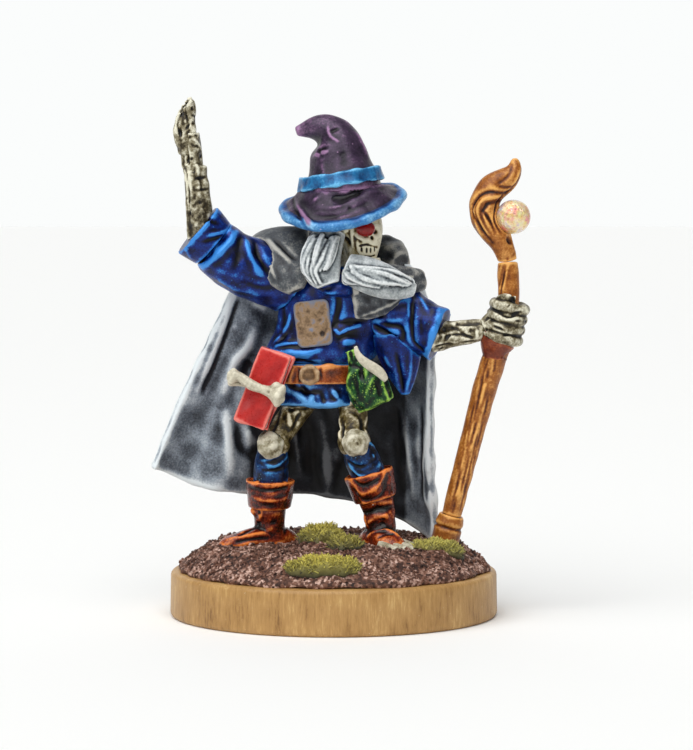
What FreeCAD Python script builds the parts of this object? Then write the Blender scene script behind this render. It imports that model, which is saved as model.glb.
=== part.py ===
# A painted 25 mm scale wizard skeleton on a round wooden disc, modelled as the separate sculpted pieces
# that are seated face to face on each other. Millimetres, +Z up, origin at the centre of the disc's
# underside, the figure's chest towards -Y and its raised right hand towards -X.
import FreeCAD, Part
import math
import os

import Sketcher
from FreeCAD import Placement, Rotation, Vector

doc = FreeCAD.newDocument("painted_miniature")
sheet = doc.addObject("Spreadsheet::Sheet", "sizes")
gauge = doc.addObject("App::FeaturePython", "gauge")
gauge.addProperty("App::PropertyFloat", "Value")
subparts = []

# ---------------------------------------------------------------- driving dimensions
dimensions = {
    # wooden disc, the thin oval plate cast under the feet, and the earth glued over both
    "base_diameter": 25.0,
    "base_top_diameter": 24.4,
    "base_height": 3.45,
    "base_edge": 0.25,
    "stand_length": 18.6,
    "stand_width": 11.6,
    "stand_thickness": 1.7,
    "stand_chamfer": 0.3,
    "earth_margin": 0.35,
    "earth_rim": 0.35,
    "earth_cover": 0.45,
    "grass_height": 1.5,
    # boots and legs
    "boot_foot_width": 2.3,
    "boot_foot_height": 2.0,
    "boot_shaft_width": 2.9,
    "boot_cuff_overhang": 0.45,
    "boot_cuff_height": 1.9,
    "toe_bone_width": 0.62,
    "wrap_width": 2.6,
    "thigh_bone_width": 2.35,
    "knee_cap_width": 2.1,
    # tunic, belt and what hangs from it
    "tunic_width": 8.0,
    "tunic_depth": 4.6,
    "waist_width": 7.2,
    "waist_depth": 4.1,
    "skirt_width": 7.6,
    "skirt_depth": 4.4,
    "skirt_height": 3.2,
    "belt_width": 1.4,
    "belt_drop": 0.12,
    "belt_thickness": 0.4,
    "buckle_diameter": 1.6,
    "buckle_thickness": 0.45,
    "collar_width": 4.4,
    "collar_thickness": 1.2,
    "patch_width": 2.7,
    "patch_height": 3.5,
    "patch_thickness": 0.3,
    "book_width": 2.5,
    "book_length": 5.9,
    "book_thickness": 1.5,
    "book_board": 0.28,
    "book_page_inset": 0.18,
    "charm_knob": 1.15,
    "charm_clearance": 0.03,
    "pouch_width": 3.2,
    "pouch_depth": 1.7,
    "tie_width": 0.75,
    "tie_thickness": 0.4,
    # arms and hands
    "sleeve_width": 4.5,
    "sleeve_depth": 3.8,
    "left_sleeve_width": 4.3,
    "left_sleeve_depth": 3.2,
    "drape_width": 3.4,
    "drape_depth": 2.0,
    "radius_bone_width": 1.15,
    "ulna_bone_width": 0.75,
    "palm_width": 2.0,
    "palm_thickness": 1.2,
    "finger_width": 0.62,
    "grip_finger_width": 0.85,
    # staff
    "staff_width": 1.65,
    "ferrule_width": 2.2,
    "ferrule_height": 2.9,
    "ferrule_groove": 0.18,
    "grip_width": 2.5,
    "staff_head_width": 2.4,
    "orb_diameter": 2.6,
    # head, hair and hat
    "skull_width": 3.9,
    "skull_length": 4.6,
    "skull_height": 4.2,
    "jaw_width": 2.3,
    "eye_diameter": 1.25,
    "neck_width": 1.7,
    "hair_width": 2.9,
    "hair_depth": 1.5,
    "beard_width": 2.7,
    "beard_depth": 1.4,
    "crown_width": 5.8,
    "brim_width": 9.0,
    "brim_thickness": 0.45,
    "brim_edge_width": 0.75,
    "band_height": 1.05,
    "band_thickness": 0.4,
    # cloak
    "cape_thickness": 0.8,
    "mantle_thickness": 0.7,
    "mantle_width": 4.3,
    "hood_width": 2.0,
}

# Points of the pose: x, y and the height above the top of the cast stand.
pose = {
    "right_heel": (-3.5, 0.0, 0.0),
    "right_toe": (-8.3, -2.5, 0.0),
    "right_ankle": (-4.9, -0.8, 2.3),
    "right_boot_top": (-4.85, -1.0, 5.0),
    "right_knee": (-4.55, -1.6, 8.0),
    "right_hip": (-2.3, -0.3, 11.4),
    "left_heel": (2.7, -0.2, 0.0),
    "left_toe": (5.2, -3.6, 0.0),
    "left_ankle": (3.5, -1.1, 2.5),
    "left_boot_top": (2.7, -1.2, 5.6),
    "left_knee": (1.55, -2.1, 8.2),
    "left_hip": (1.5, -0.4, 11.4),
    "waist": (-1.1, 0.2, 14.1),
    "neck": (0.7, 0.1, 21.4),
    "head": (1.5, -0.7, 24.3),
    "right_shoulder": (-2.9, 0.4, 19.7),
    "right_elbow": (-7.9, -0.5, 22.1),
    "right_cuff": (-10.3, -1.0, 24.2),
    "right_wrist": (-10.45, -1.0, 29.0),
    "right_fingertip": (-10.85, -1.0, 34.2),
    "left_shoulder": (3.0, 0.2, 18.8),
    "left_elbow": (5.6, -0.6, 17.3),
    "left_cuff": (8.0, -1.6, 16.3),
    "left_wrist": (11.3, -2.2, 16.7),
    "staff_foot": (8.35, -0.5, 0.0),
    "staff_knee": (10.45, -1.0, 8.3),
    "staff_low": (12.3, -1.9, 15.0),
    "staff_hand": (13.0, -2.2, 17.3),
    "staff_high": (13.2, -2.2, 19.0),
    "staff_neck": (13.1, -2.1, 21.8),
    "orb": (13.5, -2.6, 25.2),
    "book": (-5.2, -2.9, 12.3),
    "pouch_top": (1.3, -2.5, 15.2),
    "pouch_bottom": (3.2, -2.7, 11.0),
}


def fill_sheet():
    rows = dict(dimensions)
    for name, point in pose.items():
        for letter, value in zip("xyz", point):
            rows[f"{name}_{letter}"] = value
    for row, (alias, value) in enumerate(rows.items(), start=1):
        sheet.set(f"A{row}", alias)
        sheet.set(f"B{row}", str(value))
        sheet.setAlias(f"B{row}", alias)
    doc.recompute()


def size(alias):
    return float(sheet.get(alias))


def ground():
    return size("base_height") + size("stand_thickness")


def point(name):
    x, y, z = (size(f"{name}_{letter}") for letter in "xyz")
    return Vector(x, y, z + ground())


def between(start, end, share):
    return start + (end - start) * share


# ---------------------------------------------------------------- features
def bind(feature, **expressions):
    for name, expression in expressions.items():
        feature.setExpression(name, expression)
    return feature


def add(kind, name, at=None, **expressions):
    feature = doc.addObject(kind, name)
    bind(feature, **expressions)
    if at is not None:
        feature.Placement = at if isinstance(at, Placement) else Placement(at, Rotation())
    return feature


def facing(direction, wide=None):
    """The turn that carries +Z to direction and +X as near as it goes to wide."""
    direction = Vector(direction).normalize()
    if wide is None:
        return Rotation(Vector(0, 0, 1), direction)
    side = Vector(wide) - direction * direction.dot(Vector(wide))
    side.normalize()
    return Rotation(side, direction.cross(side), direction, "ZXY")


def keep(feature, label):
    feature.Label = label
    subparts.append(feature)
    return feature


def cut(name, body, *tools):
    for number, tool in enumerate(tools):
        trimmed = add("Part::Cut", f"{name}_trim_{number}")
        trimmed.Base = body
        trimmed.Tool = tool
        trimmed.Refine = False
        body = trimmed
    return body


def fuse(name, *shapes):
    whole = add("Part::MultiFuse", name)
    whole.Shapes = list(shapes)
    whole.Refine = False
    return whole


def common(name, *shapes):
    shared = add("Part::MultiCommon", name)
    shared.Shapes = list(shapes)
    shared.Refine = False
    return shared


def ball(name, centre, across, along=None, tall=None, turn=None):
    """An ellipsoid from three full widths, given as expressions: X, Y and Z before it is turned."""
    return add(
        "Part::Ellipsoid",
        name,
        Placement(centre, turn or Rotation()),
        Radius2=f"({across}) / 2",
        Radius3=f"({along or across}) / 2",
        Radius1=f"({tall or across}) / 2",
        Angle1="-90",
        Angle2="90",
    )


def bead(name, centre, across):
    return add("Part::Sphere", name, centre, Radius=f"({across}) / 2")


def limb(name, start, end, wide_start, wide_end):
    """A tapered round bar between two points, from full widths given as expressions."""
    axis = end - start
    bar = add(
        "Part::Cone",
        name,
        Placement(start, facing(axis)),
        Radius1=f"({wide_start}) / 2",
        Radius2=f"({wide_end}) / 2",
    )
    bar.Height = axis.Length
    return bar


def loft(name, stations, width, depth=None, wide=None):
    """A solid through round or oval rings. A station is (centre, share of width, share of depth), and
    each ring stands square to the line through its neighbours."""
    centres = [station[0] for station in stations]
    rings = []
    for number, (centre, wide_share, *deep_share) in enumerate(stations):
        before = centres[max(number - 1, 0)]
        after = centres[min(number + 1, len(centres) - 1)]
        at = Placement(centre, facing(after - before, wide))
        if depth is None:
            ring = add("Part::Circle", f"{name}_ring_{number}", at, Radius=f"({width}) / 2 * {wide_share}")
        else:
            ring = add(
                "Part::Ellipse",
                f"{name}_ring_{number}",
                at,
                MajorRadius=f"({width}) / 2 * {wide_share}",
                MinorRadius=f"({depth}) / 2 * {(deep_share or [wide_share])[0]}",
            )
        rings.append(ring)
    body = add("Part::Loft", name)
    body.Sections = rings
    body.Solid = True
    body.Ruled = False
    return body


def new_body(name, placement):
    body = doc.addObject("PartDesign::Body", name)
    body.Placement = placement
    return body


def origin_plane(body, role):
    return next(feature for feature in body.Origin.OriginFeatures if feature.Role == role)


def outline(body, name, role, corners):
    """A closed sketch of straight sides. Each corner is (x, y) as expressions of zero or more, and is
    held by named distances from the origin that the sheet drives."""
    sketch = body.newObject("Sketcher::SketchObject", name)
    sketch.AttachmentSupport = (origin_plane(body, role), [""])
    sketch.MapMode = "FlatFace"
    values = [tuple(measure(text) for text in corner) for corner in corners]
    count = len(values)
    for number in range(count):
        start = Vector(*values[number], 0)
        end = Vector(*values[(number + 1) % count], 0)
        sketch.addGeometry(Part.LineSegment(start, end), False)
    for number in range(count):
        sketch.addConstraint(Sketcher.Constraint("Coincident", number, 2, (number + 1) % count, 1))
    for number, corner in enumerate(corners):
        for kind, axis, text, value in zip(("DistanceX", "DistanceY"), (-2, -1), corner, values[number]):
            if text == "0":
                sketch.addConstraint(Sketcher.Constraint("PointOnObject", number, 1, axis))
                continue
            index = sketch.addConstraint(Sketcher.Constraint(kind, -1, 1, number, 1, value))
            label = f"{kind[-1].lower()}_{number}"
            sketch.renameConstraint(index, label)
            sketch.setExpression(f"Constraints.{label}", text)
    return sketch


def measure(text):
    """The value of an expression of the sheet's cells."""
    gauge.setExpression("Value", text)
    gauge.recompute()
    return float(gauge.Value)


def pad(body, sketch, length, name):
    feature = body.newObject("PartDesign::Pad", name)
    feature.Profile = sketch
    feature.setExpression("Length", length)
    return feature


def revolve(body, sketch, name):
    feature = body.newObject("PartDesign::Revolution", name)
    feature.Profile = sketch
    feature.ReferenceAxis = (sketch, ["V_Axis"])
    feature.Angle = 360
    return feature


# ---------------------------------------------------------------- base and ground
def make_base():
    body = new_body("base_disc", Placement())
    profile = outline(
        body,
        "disc_profile",
        "XZ_Plane",
        [
            ("0", "0"),
            ("sizes.base_diameter / 2 - sizes.base_edge", "0"),
            ("sizes.base_diameter / 2", "sizes.base_edge"),
            ("sizes.base_top_diameter / 2", "sizes.base_height - sizes.base_edge / 2"),
            ("sizes.base_top_diameter / 2 - sizes.base_edge / 2", "sizes.base_height"),
            ("0", "sizes.base_height"),
        ],
    )
    revolve(body, profile, "disc_turning")
    return keep(body, "base_disc")


def make_stand():
    at = Vector(0.1, -0.6, size("base_height"))
    lower = add(
        "Part::Ellipse",
        "stand_outline",
        at,
        MajorRadius="sizes.stand_length / 2",
        MinorRadius="sizes.stand_width / 2",
    )
    plate = add("Part::Extrusion", "stand_plate")
    plate.Base = lower
    plate.DirMode = "Normal"
    plate.Solid = True
    bind(plate, LengthFwd="sizes.stand_thickness")
    doc.recompute()
    bevelled = add("Part::Chamfer", "stand_bevel")
    bevelled.Base = plate
    top = max(range(len(plate.Shape.Edges)), key=lambda i: plate.Shape.Edges[i].CenterOfMass.z)
    bevel = size("stand_chamfer")
    bevelled.Edges = [(top + 1, bevel, bevel)]
    return keep(bevelled, "cast_stand")


def make_earth(*bedded):
    """The mound of glued earth, with a seat cut in it for everything that stands in it."""
    body = new_body("earth_mound", Placement())
    rim = "sizes.base_top_diameter / 2 - sizes.earth_margin"
    stand_top = "sizes.base_height + sizes.stand_thickness"
    profile = outline(
        body,
        "earth_profile",
        "XZ_Plane",
        [
            ("0", "sizes.base_height"),
            (rim, "sizes.base_height"),
            (rim, "sizes.base_height + sizes.earth_rim"),
            (f"({rim}) * 0.91", "sizes.base_height + sizes.stand_thickness * 0.6"),
            (f"({rim}) * 0.8", f"{stand_top} + sizes.earth_cover * 0.6"),
            (f"({rim}) * 0.45", f"{stand_top} + sizes.earth_cover"),
            ("0", f"{stand_top} + sizes.earth_cover"),
        ],
    )
    revolve(body, profile, "earth_turning")
    return keep(cut("earth_cover", body, *bedded), "earth_cover")


def make_grass(toes, *bed):
    """Three tufts of short fibre, each made of low domes seated on the earth."""
    top = ground() + size("earth_cover")
    tufts = {
        "grass_centre": [
            (Vector(-0.9, -1.5, top), 3.8, 4.0, 0.85),
            (Vector(0.9, -4.6, top - 0.2), 3.0, 4.0, 0.65),
        ],
        "grass_front": [(Vector(-0.7, -9.9, top - 1.0), 5.8, 3.0, 0.65)],
        "grass_staff": [(Vector(7.5, -4.0, top - 0.7), 4.4, 2.6, 0.75)],
    }
    for name, domes in tufts.items():
        lumps = [
            ball(f"{name}_dome_{number}", centre, across, along, f"sizes.grass_height * 2 * {share}")
            for number, (centre, across, along, share) in enumerate(domes)
        ]
        tuft = lumps[0] if len(lumps) == 1 else fuse(f"{name}_lumps", *lumps)
        beside = [toes] if name == "grass_staff" else []
        keep(cut(name, tuft, *bed, *beside), name)


# ---------------------------------------------------------------- legs
def foot(side, share_long):
    """The foot of a boot, along the line from heel to toe and flat where it stands."""
    heel, toe = point(f"{side}_heel"), point(f"{side}_toe")
    tall = size("boot_foot_height")
    stations = []
    for share, wide, high in [(-0.12, 0.5, 0.45), (0.05, 0.85, 0.85), (0.35, 1.0, 1.0),
                              (0.7, 1.02, 0.8), (0.92, 0.8, 0.6), (1.05, 0.42, 0.35)]:
        centre = between(heel, toe, share * share_long) + Vector(0, 0, tall * high * 0.38)
        stations.append((centre, wide, high))
    across = (toe - heel).cross(Vector(0, 0, 1))
    return loft(f"{side}_foot", stations, "sizes.boot_foot_width", "sizes.boot_foot_height * 0.98", across)


def make_leg(side, ground_block, skirt, share_long):
    ankle, top = point(f"{side}_ankle"), point(f"{side}_boot_top")
    knee, hip = point(f"{side}_knee"), point(f"{side}_hip")
    heel = point(f"{side}_heel")
    low = between(heel, point(f"{side}_toe"), 0.25) + Vector(0, 0, 0.45)
    shaft = loft(
        f"{side}_shaft",
        [(low, 0.85), (ankle, 0.82), (between(ankle, top, 0.5), 0.94), (top, 1.0)],
        "sizes.boot_shaft_width",
    )
    sole = cut(f"{side}_sole", foot(side, share_long), ground_block)
    boot = keep(fuse(f"{side}_boot_whole", sole, shaft), f"{side}_boot")

    rise = (top - ankle).normalize()
    cuff_low = top - rise * size("boot_cuff_height")
    cuff_wide = "sizes.boot_shaft_width + 2 * sizes.boot_cuff_overhang"
    cuff = limb(f"{side}_cuff_raw", cuff_low, top + rise * 0.25, f"({cuff_wide}) * 0.86", cuff_wide)
    wrap_raw = loft(
        f"{side}_wrap_raw",
        [(top - rise * 0.1, 1.0), (between(top, knee, 0.45), 1.0), (between(top, knee, 0.9), 0.85)],
        "sizes.wrap_width",
    )
    wrap = keep(cut(f"{side}_wrap", wrap_raw, boot), f"{side}_shin_wrap")
    keep(cut(f"{side}_cuff", cuff, boot, wrap), f"{side}_boot_cuff")

    thigh = fuse(
        f"{side}_thigh_raw",
        limb(f"{side}_femur", knee, hip, "sizes.thigh_bone_width * 0.8", "sizes.thigh_bone_width"),
        bead(f"{side}_condyle", knee, "sizes.thigh_bone_width * 1.08"),
    )
    thigh = keep(cut(f"{side}_thigh", thigh, skirt, wrap), f"{side}_thigh_bone")
    front = (Vector(0, -1, 0) + Vector(point(f"{side}_toe") - heel).normalize() * 0.3).normalize()
    cap = bead(f"{side}_cap_raw", knee + front * size("thigh_bone_width") * 0.36, "sizes.knee_cap_width")
    keep(cut(f"{side}_cap", cap, thigh, wrap), f"{side}_knee_cap")
    return boot, thigh


def make_toe_bones(boot, ground_block):
    """The bare toes that show through the open end of the left boot."""
    toe = point("left_toe")
    along = (toe - point("left_heel")).normalize()
    across = along.cross(Vector(0, 0, 1)).normalize()
    width = size("toe_bone_width")
    toes = []
    for number in range(4):
        root = toe - along * 1.5 + across * (number - 1.5) * width * 1.08 + Vector(0, 0, 0.55)
        tip = root + along * (2.6 - 0.25 * abs(number - 1)) + Vector(0, 0, -0.25)
        toes.append(limb(f"toe_{number}", root, tip, "sizes.toe_bone_width", "sizes.toe_bone_width * 0.8"))
    return keep(cut("toes", fuse("toes_raw", *toes), boot, ground_block), "left_toe_bones")


# ---------------------------------------------------------------- tunic
def level_loft(name, stations, width, depth):
    """A loft whose oval rings all lie level."""
    rings = []
    for number, (centre, wide, deep) in enumerate(stations):
        rings.append(
            add(
                "Part::Ellipse",
                f"{name}_ring_{number}",
                centre,
                MajorRadius=f"({width}) / 2 * {wide}",
                MinorRadius=f"({depth}) / 2 * {deep}",
            )
        )
    body = add("Part::Loft", name)
    body.Sections = rings
    body.Solid = True
    body.Ruled = False
    return body


def tunic_shell(name, extra):
    waist, neck = point("waist"), point("neck")
    ratio = size("waist_width") / size("tunic_width")
    stations = [(0, ratio, ratio), (0.16, 1.07, 1.07), (0.4, 1.0, 1.0),
                (0.68, 1.05, 0.98), (0.9, 0.8, 0.8), (1.0, 0.42, 0.5)]
    placed = [(between(waist, neck, share), wide, deep) for share, wide, deep in stations]
    return level_loft(name, placed, f"sizes.tunic_width + {extra}", f"sizes.tunic_depth + {extra}")


def make_tunic():
    tunic = keep(tunic_shell("tunic_body", "0"), "tunic_body")
    waist = point("waist")
    hem = waist - Vector(0, 0.2, size("skirt_height"))
    skirt = add("Part::Loft", "skirt_raw")
    skirt.Sections = [
        add("Part::Ellipse", "skirt_hem", hem,
            MajorRadius="sizes.skirt_width / 2", MinorRadius="sizes.skirt_depth / 2"),
        add("Part::Ellipse", "skirt_middle", between(hem, waist, 0.5),
            MajorRadius="sizes.skirt_width / 2 * 0.94", MinorRadius="sizes.skirt_depth / 2 * 0.95"),
        add("Part::Ellipse", "skirt_waist", waist,
            MajorRadius="sizes.waist_width / 2", MinorRadius="sizes.waist_depth / 2"),
    ]
    skirt.Solid = True
    keep(skirt, "tunic_skirt")
    return tunic, skirt


def front_at(x):
    """The outside of the belt at x, on the figure's front."""
    waist = point("waist")
    half_wide = size("waist_width") / 2 + size("belt_thickness")
    half_deep = size("waist_depth") / 2 + size("belt_thickness")
    share = (x - waist.x) / half_wide
    return waist.y - half_deep * math.sqrt(max(0.0, 1 - share * share))


def make_belt(tunic, skirt):
    waist = point("waist")
    width, depth = (f"sizes.waist_{way} + 2 * sizes.belt_thickness" for way in ("width", "depth"))
    high = waist - Vector(0, 0, size("belt_drop"))
    low = high - Vector(0, 0, size("belt_width"))
    ring = level_loft("belt_raw", [(low, 1.03, 1.05), (high, 1.0, 1.02)], width, depth)
    belt = keep(cut("belt", ring, skirt), "belt")

    x = waist.x - 0.7
    body = new_body(
        "buckle_body",
        Placement(Vector(x, front_at(x) + 0.12, waist.z - size("belt_drop") - size("belt_width") / 2),
                  facing(Vector(-0.15, -1, 0), Vector(1, 0, 0))),
    )
    radius, thick = "sizes.buckle_diameter / 2", "sizes.buckle_thickness"
    profile = outline(
        body,
        "buckle_profile",
        "XZ_Plane",
        [("0", "0"), (radius, "0"), (radius, f"{thick} * 0.7"), (f"{radius} * 0.85", thick),
         (f"{radius} * 0.65", thick), (f"{radius} * 0.5", f"{thick} * 0.75"), ("0", f"{thick} * 0.75")],
    )
    revolve(body, profile, "buckle_turning")
    keep(cut("buckle", body, belt, tunic, skirt), "belt_buckle")
    return belt


def make_collar(tunic):
    """The rolled cowl of the tunic round the neck, lower at the front."""
    centre = point("neck") + Vector(-0.4, -0.9, -1.0)
    ring = add(
        "Part::Torus",
        "collar_raw",
        Placement(centre, facing(Vector(0.1, -0.45, 1))),
        Radius1="(sizes.collar_width - sizes.collar_thickness) / 2",
        Radius2="sizes.collar_thickness / 2",
    )
    return keep(cut("collar", ring, tunic), "tunic_collar")


def make_patch(tunic):
    """A stitched patch that lies on the curve of the chest: the skin of the chest inside a prism."""
    skin = tunic_shell("patch_skin", "2 * sizes.patch_thickness")
    centre = between(point("waist"), point("neck"), 0.42) + Vector(-1.2, -2.3, 0)
    turn = Rotation(Vector(0, 1, 0), -7)
    prism = add("Part::Box", "patch_prism", Length="sizes.patch_width", Height="sizes.patch_height")
    prism.Width = 3
    corner = Vector(-size("patch_width") / 2, -2, -size("patch_height") / 2)
    prism.Placement = Placement(centre + turn.multVec(corner), turn)
    doc.recompute()
    rounded = add("Part::Fillet", "patch_rounded")
    rounded.Base = prism
    upright = [number + 1 for number, edge in enumerate(prism.Shape.Edges) if runs_along(edge, turn, 1)]
    rounded.Edges = [(number, 0.45, 0.45) for number in upright]
    return keep(cut("patch", common("patch_shared", rounded, skin), tunic), "chest_patch")


def runs_along(edge, turn, axis):
    ends = [vertex.Point for vertex in edge.Vertexes]
    local = turn.inverted().multVec(ends[1] - ends[0])
    return abs(local[axis]) > 0.9 * local.Length


# ---------------------------------------------------------------- things on the belt
def book_lean():
    return Rotation(Vector(0, 1, 0), 20).multiply(Rotation(Vector(0, 0, 1), -14))


def make_book(*neighbours):
    lean = book_lean()
    wide, long, thick = size("book_width"), size("book_length"), size("book_thickness")
    corner = point("book") + lean.multVec(Vector(-wide / 2, -thick / 2, -long / 2))
    body = new_body("book_boards", Placement(corner, lean))
    board = "sizes.book_board"
    across, deep = "sizes.book_width", "sizes.book_thickness"
    profile = outline(
        body,
        "book_profile",
        "XY_Plane",
        [("0", "0"), (across, "0"), (across, board), (board, board),
         (board, f"{deep} - {board}"), (across, f"{deep} - {board}"), (across, deep), ("0", deep)],
    )
    pad(body, profile, "sizes.book_length", "book_boards_pad")
    keep(cut("cover", body, *neighbours), "book_cover")

    inset = size("book_page_inset")
    pages = add(
        "Part::Box",
        "pages_raw",
        Placement(corner + lean.multVec(Vector(size("book_board"), size("book_board"), inset)), lean),
        Length="sizes.book_width - sizes.book_board - sizes.book_page_inset",
        Width="sizes.book_thickness - 2 * sizes.book_board",
        Height="sizes.book_length - 2 * sizes.book_page_inset",
    )
    keep(cut("pages", pages, *neighbours), "book_pages")


def make_charm():
    """A bone tied across the book, knobbed at its ends. It rests on its knobs against the front board."""
    out = -(size("book_thickness") + size("charm_knob")) / 2 - size("charm_clearance")
    stations = [(-2.5, 0.45, 0.4), (-2.15, 1.15, 1.14), (-1.55, 0.74, 0.72), (-1.0, 0.6, 0.58),
                (0.35, 0.6, 0.58), (0.95, 0.85, 0.75), (1.5, 1.5, 1.14), (1.95, 1.0, 0.5)]
    placed = []
    for along, wide, deep in stations:
        placed.append((point("book") + book_lean().multVec(Vector(along, out, 0)), wide, deep))
    keep(loft("charm", placed, "sizes.charm_knob", "sizes.charm_knob", Vector(0, 0, 1)), "bone_charm")


def make_pouch(*neighbours):
    top, bottom = point("pouch_top"), point("pouch_bottom")
    stations = [(0, 0.3, 0.55), (0.22, 0.42, 0.6), (0.45, 0.85, 0.95), (0.75, 1.02, 1.05), (1.0, 0.9, 0.7)]
    placed = [(between(top, bottom, share), wide, deep) for share, wide, deep in stations]
    bag = loft("pouch_raw", placed, "sizes.pouch_width", "sizes.pouch_depth", Vector(1, 0, 0.1))
    pouch = keep(cut("pouch", bag, *neighbours), "pouch")

    out = size("pouch_depth") * 0.5
    route = [(Vector(0.35, -out * 0.45, 0.3), 0.5), (Vector(0.9, -out * 0.8, -0.75), 0.9),
             (Vector(1.9, -out, -1.45), 1.1), (Vector(2.65, -out * 0.85, -2.3), 0.6)]
    strap = loft(
        "tie_raw",
        [(top + step, share, share) for step, share in route],
        "sizes.tie_width",
        "sizes.tie_thickness",
        Vector(0.4, 0, 1),
    )
    keep(cut("tie", strap, pouch, *neighbours), "pouch_tie")
    return pouch


# ---------------------------------------------------------------- arms
def make_right_arm(tunic):
    shoulder, elbow = point("right_shoulder"), point("right_elbow")
    cuff, wrist, tip = point("right_cuff"), point("right_wrist"), point("right_fingertip")
    up = Vector(0, 0, 1)
    upper = loft(
        "right_sleeve_raw",
        [(shoulder, 0.95, 1.0), (between(shoulder, elbow, 0.5), 1.04, 1.05), (elbow, 0.98, 1.0),
         (between(elbow, cuff, 0.5), 0.9, 0.9)],
        "sizes.sleeve_width", "sizes.sleeve_depth", up,
    )
    sleeve = keep(cut("right_sleeve", upper, tunic), "right_sleeve")
    end = loft(
        "right_cuff_raw",
        [(between(elbow, cuff, 0.25), 0.8, 0.8), (between(elbow, cuff, 0.7), 0.95, 0.95), (cuff, 1.02, 1.0)],
        "sizes.sleeve_width", "sizes.sleeve_depth", up,
    )
    mouth = keep(cut("right_cuff", end, sleeve), "right_sleeve_cuff")

    down = (cuff - wrist).normalize() * 0.8
    radius_bone = limb(
        "right_radius", cuff + Vector(0.75, -0.1, 0) + down, wrist + Vector(0.3, -0.1, 0),
        "sizes.radius_bone_width * 1.15", "sizes.radius_bone_width",
    )
    ulna_bone = limb(
        "right_ulna", cuff + Vector(-0.45, 0.1, 0) + down, wrist + Vector(-0.55, 0.1, 0.3),
        "sizes.ulna_bone_width", "sizes.ulna_bone_width * 0.9",
    )
    bones = fuse("right_forearm_raw", radius_bone, ulna_bone)

    reach = tip - wrist
    palm = loft(
        "right_palm",
        [(wrist, 0.7, 0.95), (wrist + reach * 0.22, 0.95, 1.0), (wrist + reach * 0.48, 1.0, 0.85)],
        "sizes.palm_width", "sizes.palm_thickness", Vector(0, 1, 0),
    )
    keep(palm, "right_palm")
    keep(cut("right_forearm", bones, mouth, sleeve, palm), "right_forearm_bones")
    knuckles = wrist + reach * 0.48
    pitch = (size("palm_width") - size("finger_width")) / 3
    fingers = []
    for number in range(4):
        side = Vector(0, (number - 1.5) * pitch, 0)
        bend = Vector(-0.22 * number, 0, -0.28 * number)
        fingers.append(
            loft(
                f"right_finger_{number}",
                [(knuckles + side, 0.95), (knuckles + side + reach * 0.2 + bend * 0.6, 0.9),
                 (knuckles + side + reach * 0.38 + bend, 0.95), (knuckles + side + reach * 0.52 + bend, 0.6)],
                "sizes.finger_width",
            )
        )
    thumb = loft(
        "right_thumb",
        [(wrist + reach * 0.25 + Vector(-0.5, -0.4, 0), 1.0), (wrist + reach * 0.45 + Vector(-1.15, -0.5, 0), 1.0),
         (wrist + reach * 0.6 + Vector(-1.05, -0.5, 0), 0.9), (wrist + reach * 0.78 + Vector(-0.75, -0.6, 0), 0.5)],
        "sizes.finger_width",
    )
    keep(cut("right_digits", fuse("right_digits_raw", *fingers, thumb), palm), "right_fingers")
    return sleeve


def make_left_sleeve(tunic):
    shoulder, elbow, cuff = point("left_shoulder"), point("left_elbow"), point("left_cuff")
    raw = loft(
        "left_sleeve_raw",
        [(shoulder, 0.95, 1.1), (elbow, 1.1, 1.1), (between(elbow, cuff, 0.6), 0.95, 1.0), (cuff, 1.0, 1.0)],
        "sizes.left_sleeve_width", "sizes.left_sleeve_depth", Vector(0, 0, 1),
    )
    sleeve = keep(cut("left_sleeve", raw, tunic), "left_sleeve")
    top = elbow + Vector(-0.7, -0.4, -0.9)
    fold = loft(
        "drape_raw",
        [(top, 1.15, 1.0), (top + Vector(0.1, 0, -1.6), 1.0, 0.9), (top + Vector(0.35, 0, -3.2), 0.66, 0.6),
         (top + Vector(0.55, 0, -4.7), 0.2, 0.3)],
        "sizes.drape_width", "sizes.drape_depth", Vector(1, 0, 0),
    )
    drape = keep(cut("drape", fold, sleeve, tunic), "left_sleeve_drape")
    return sleeve, drape


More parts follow.
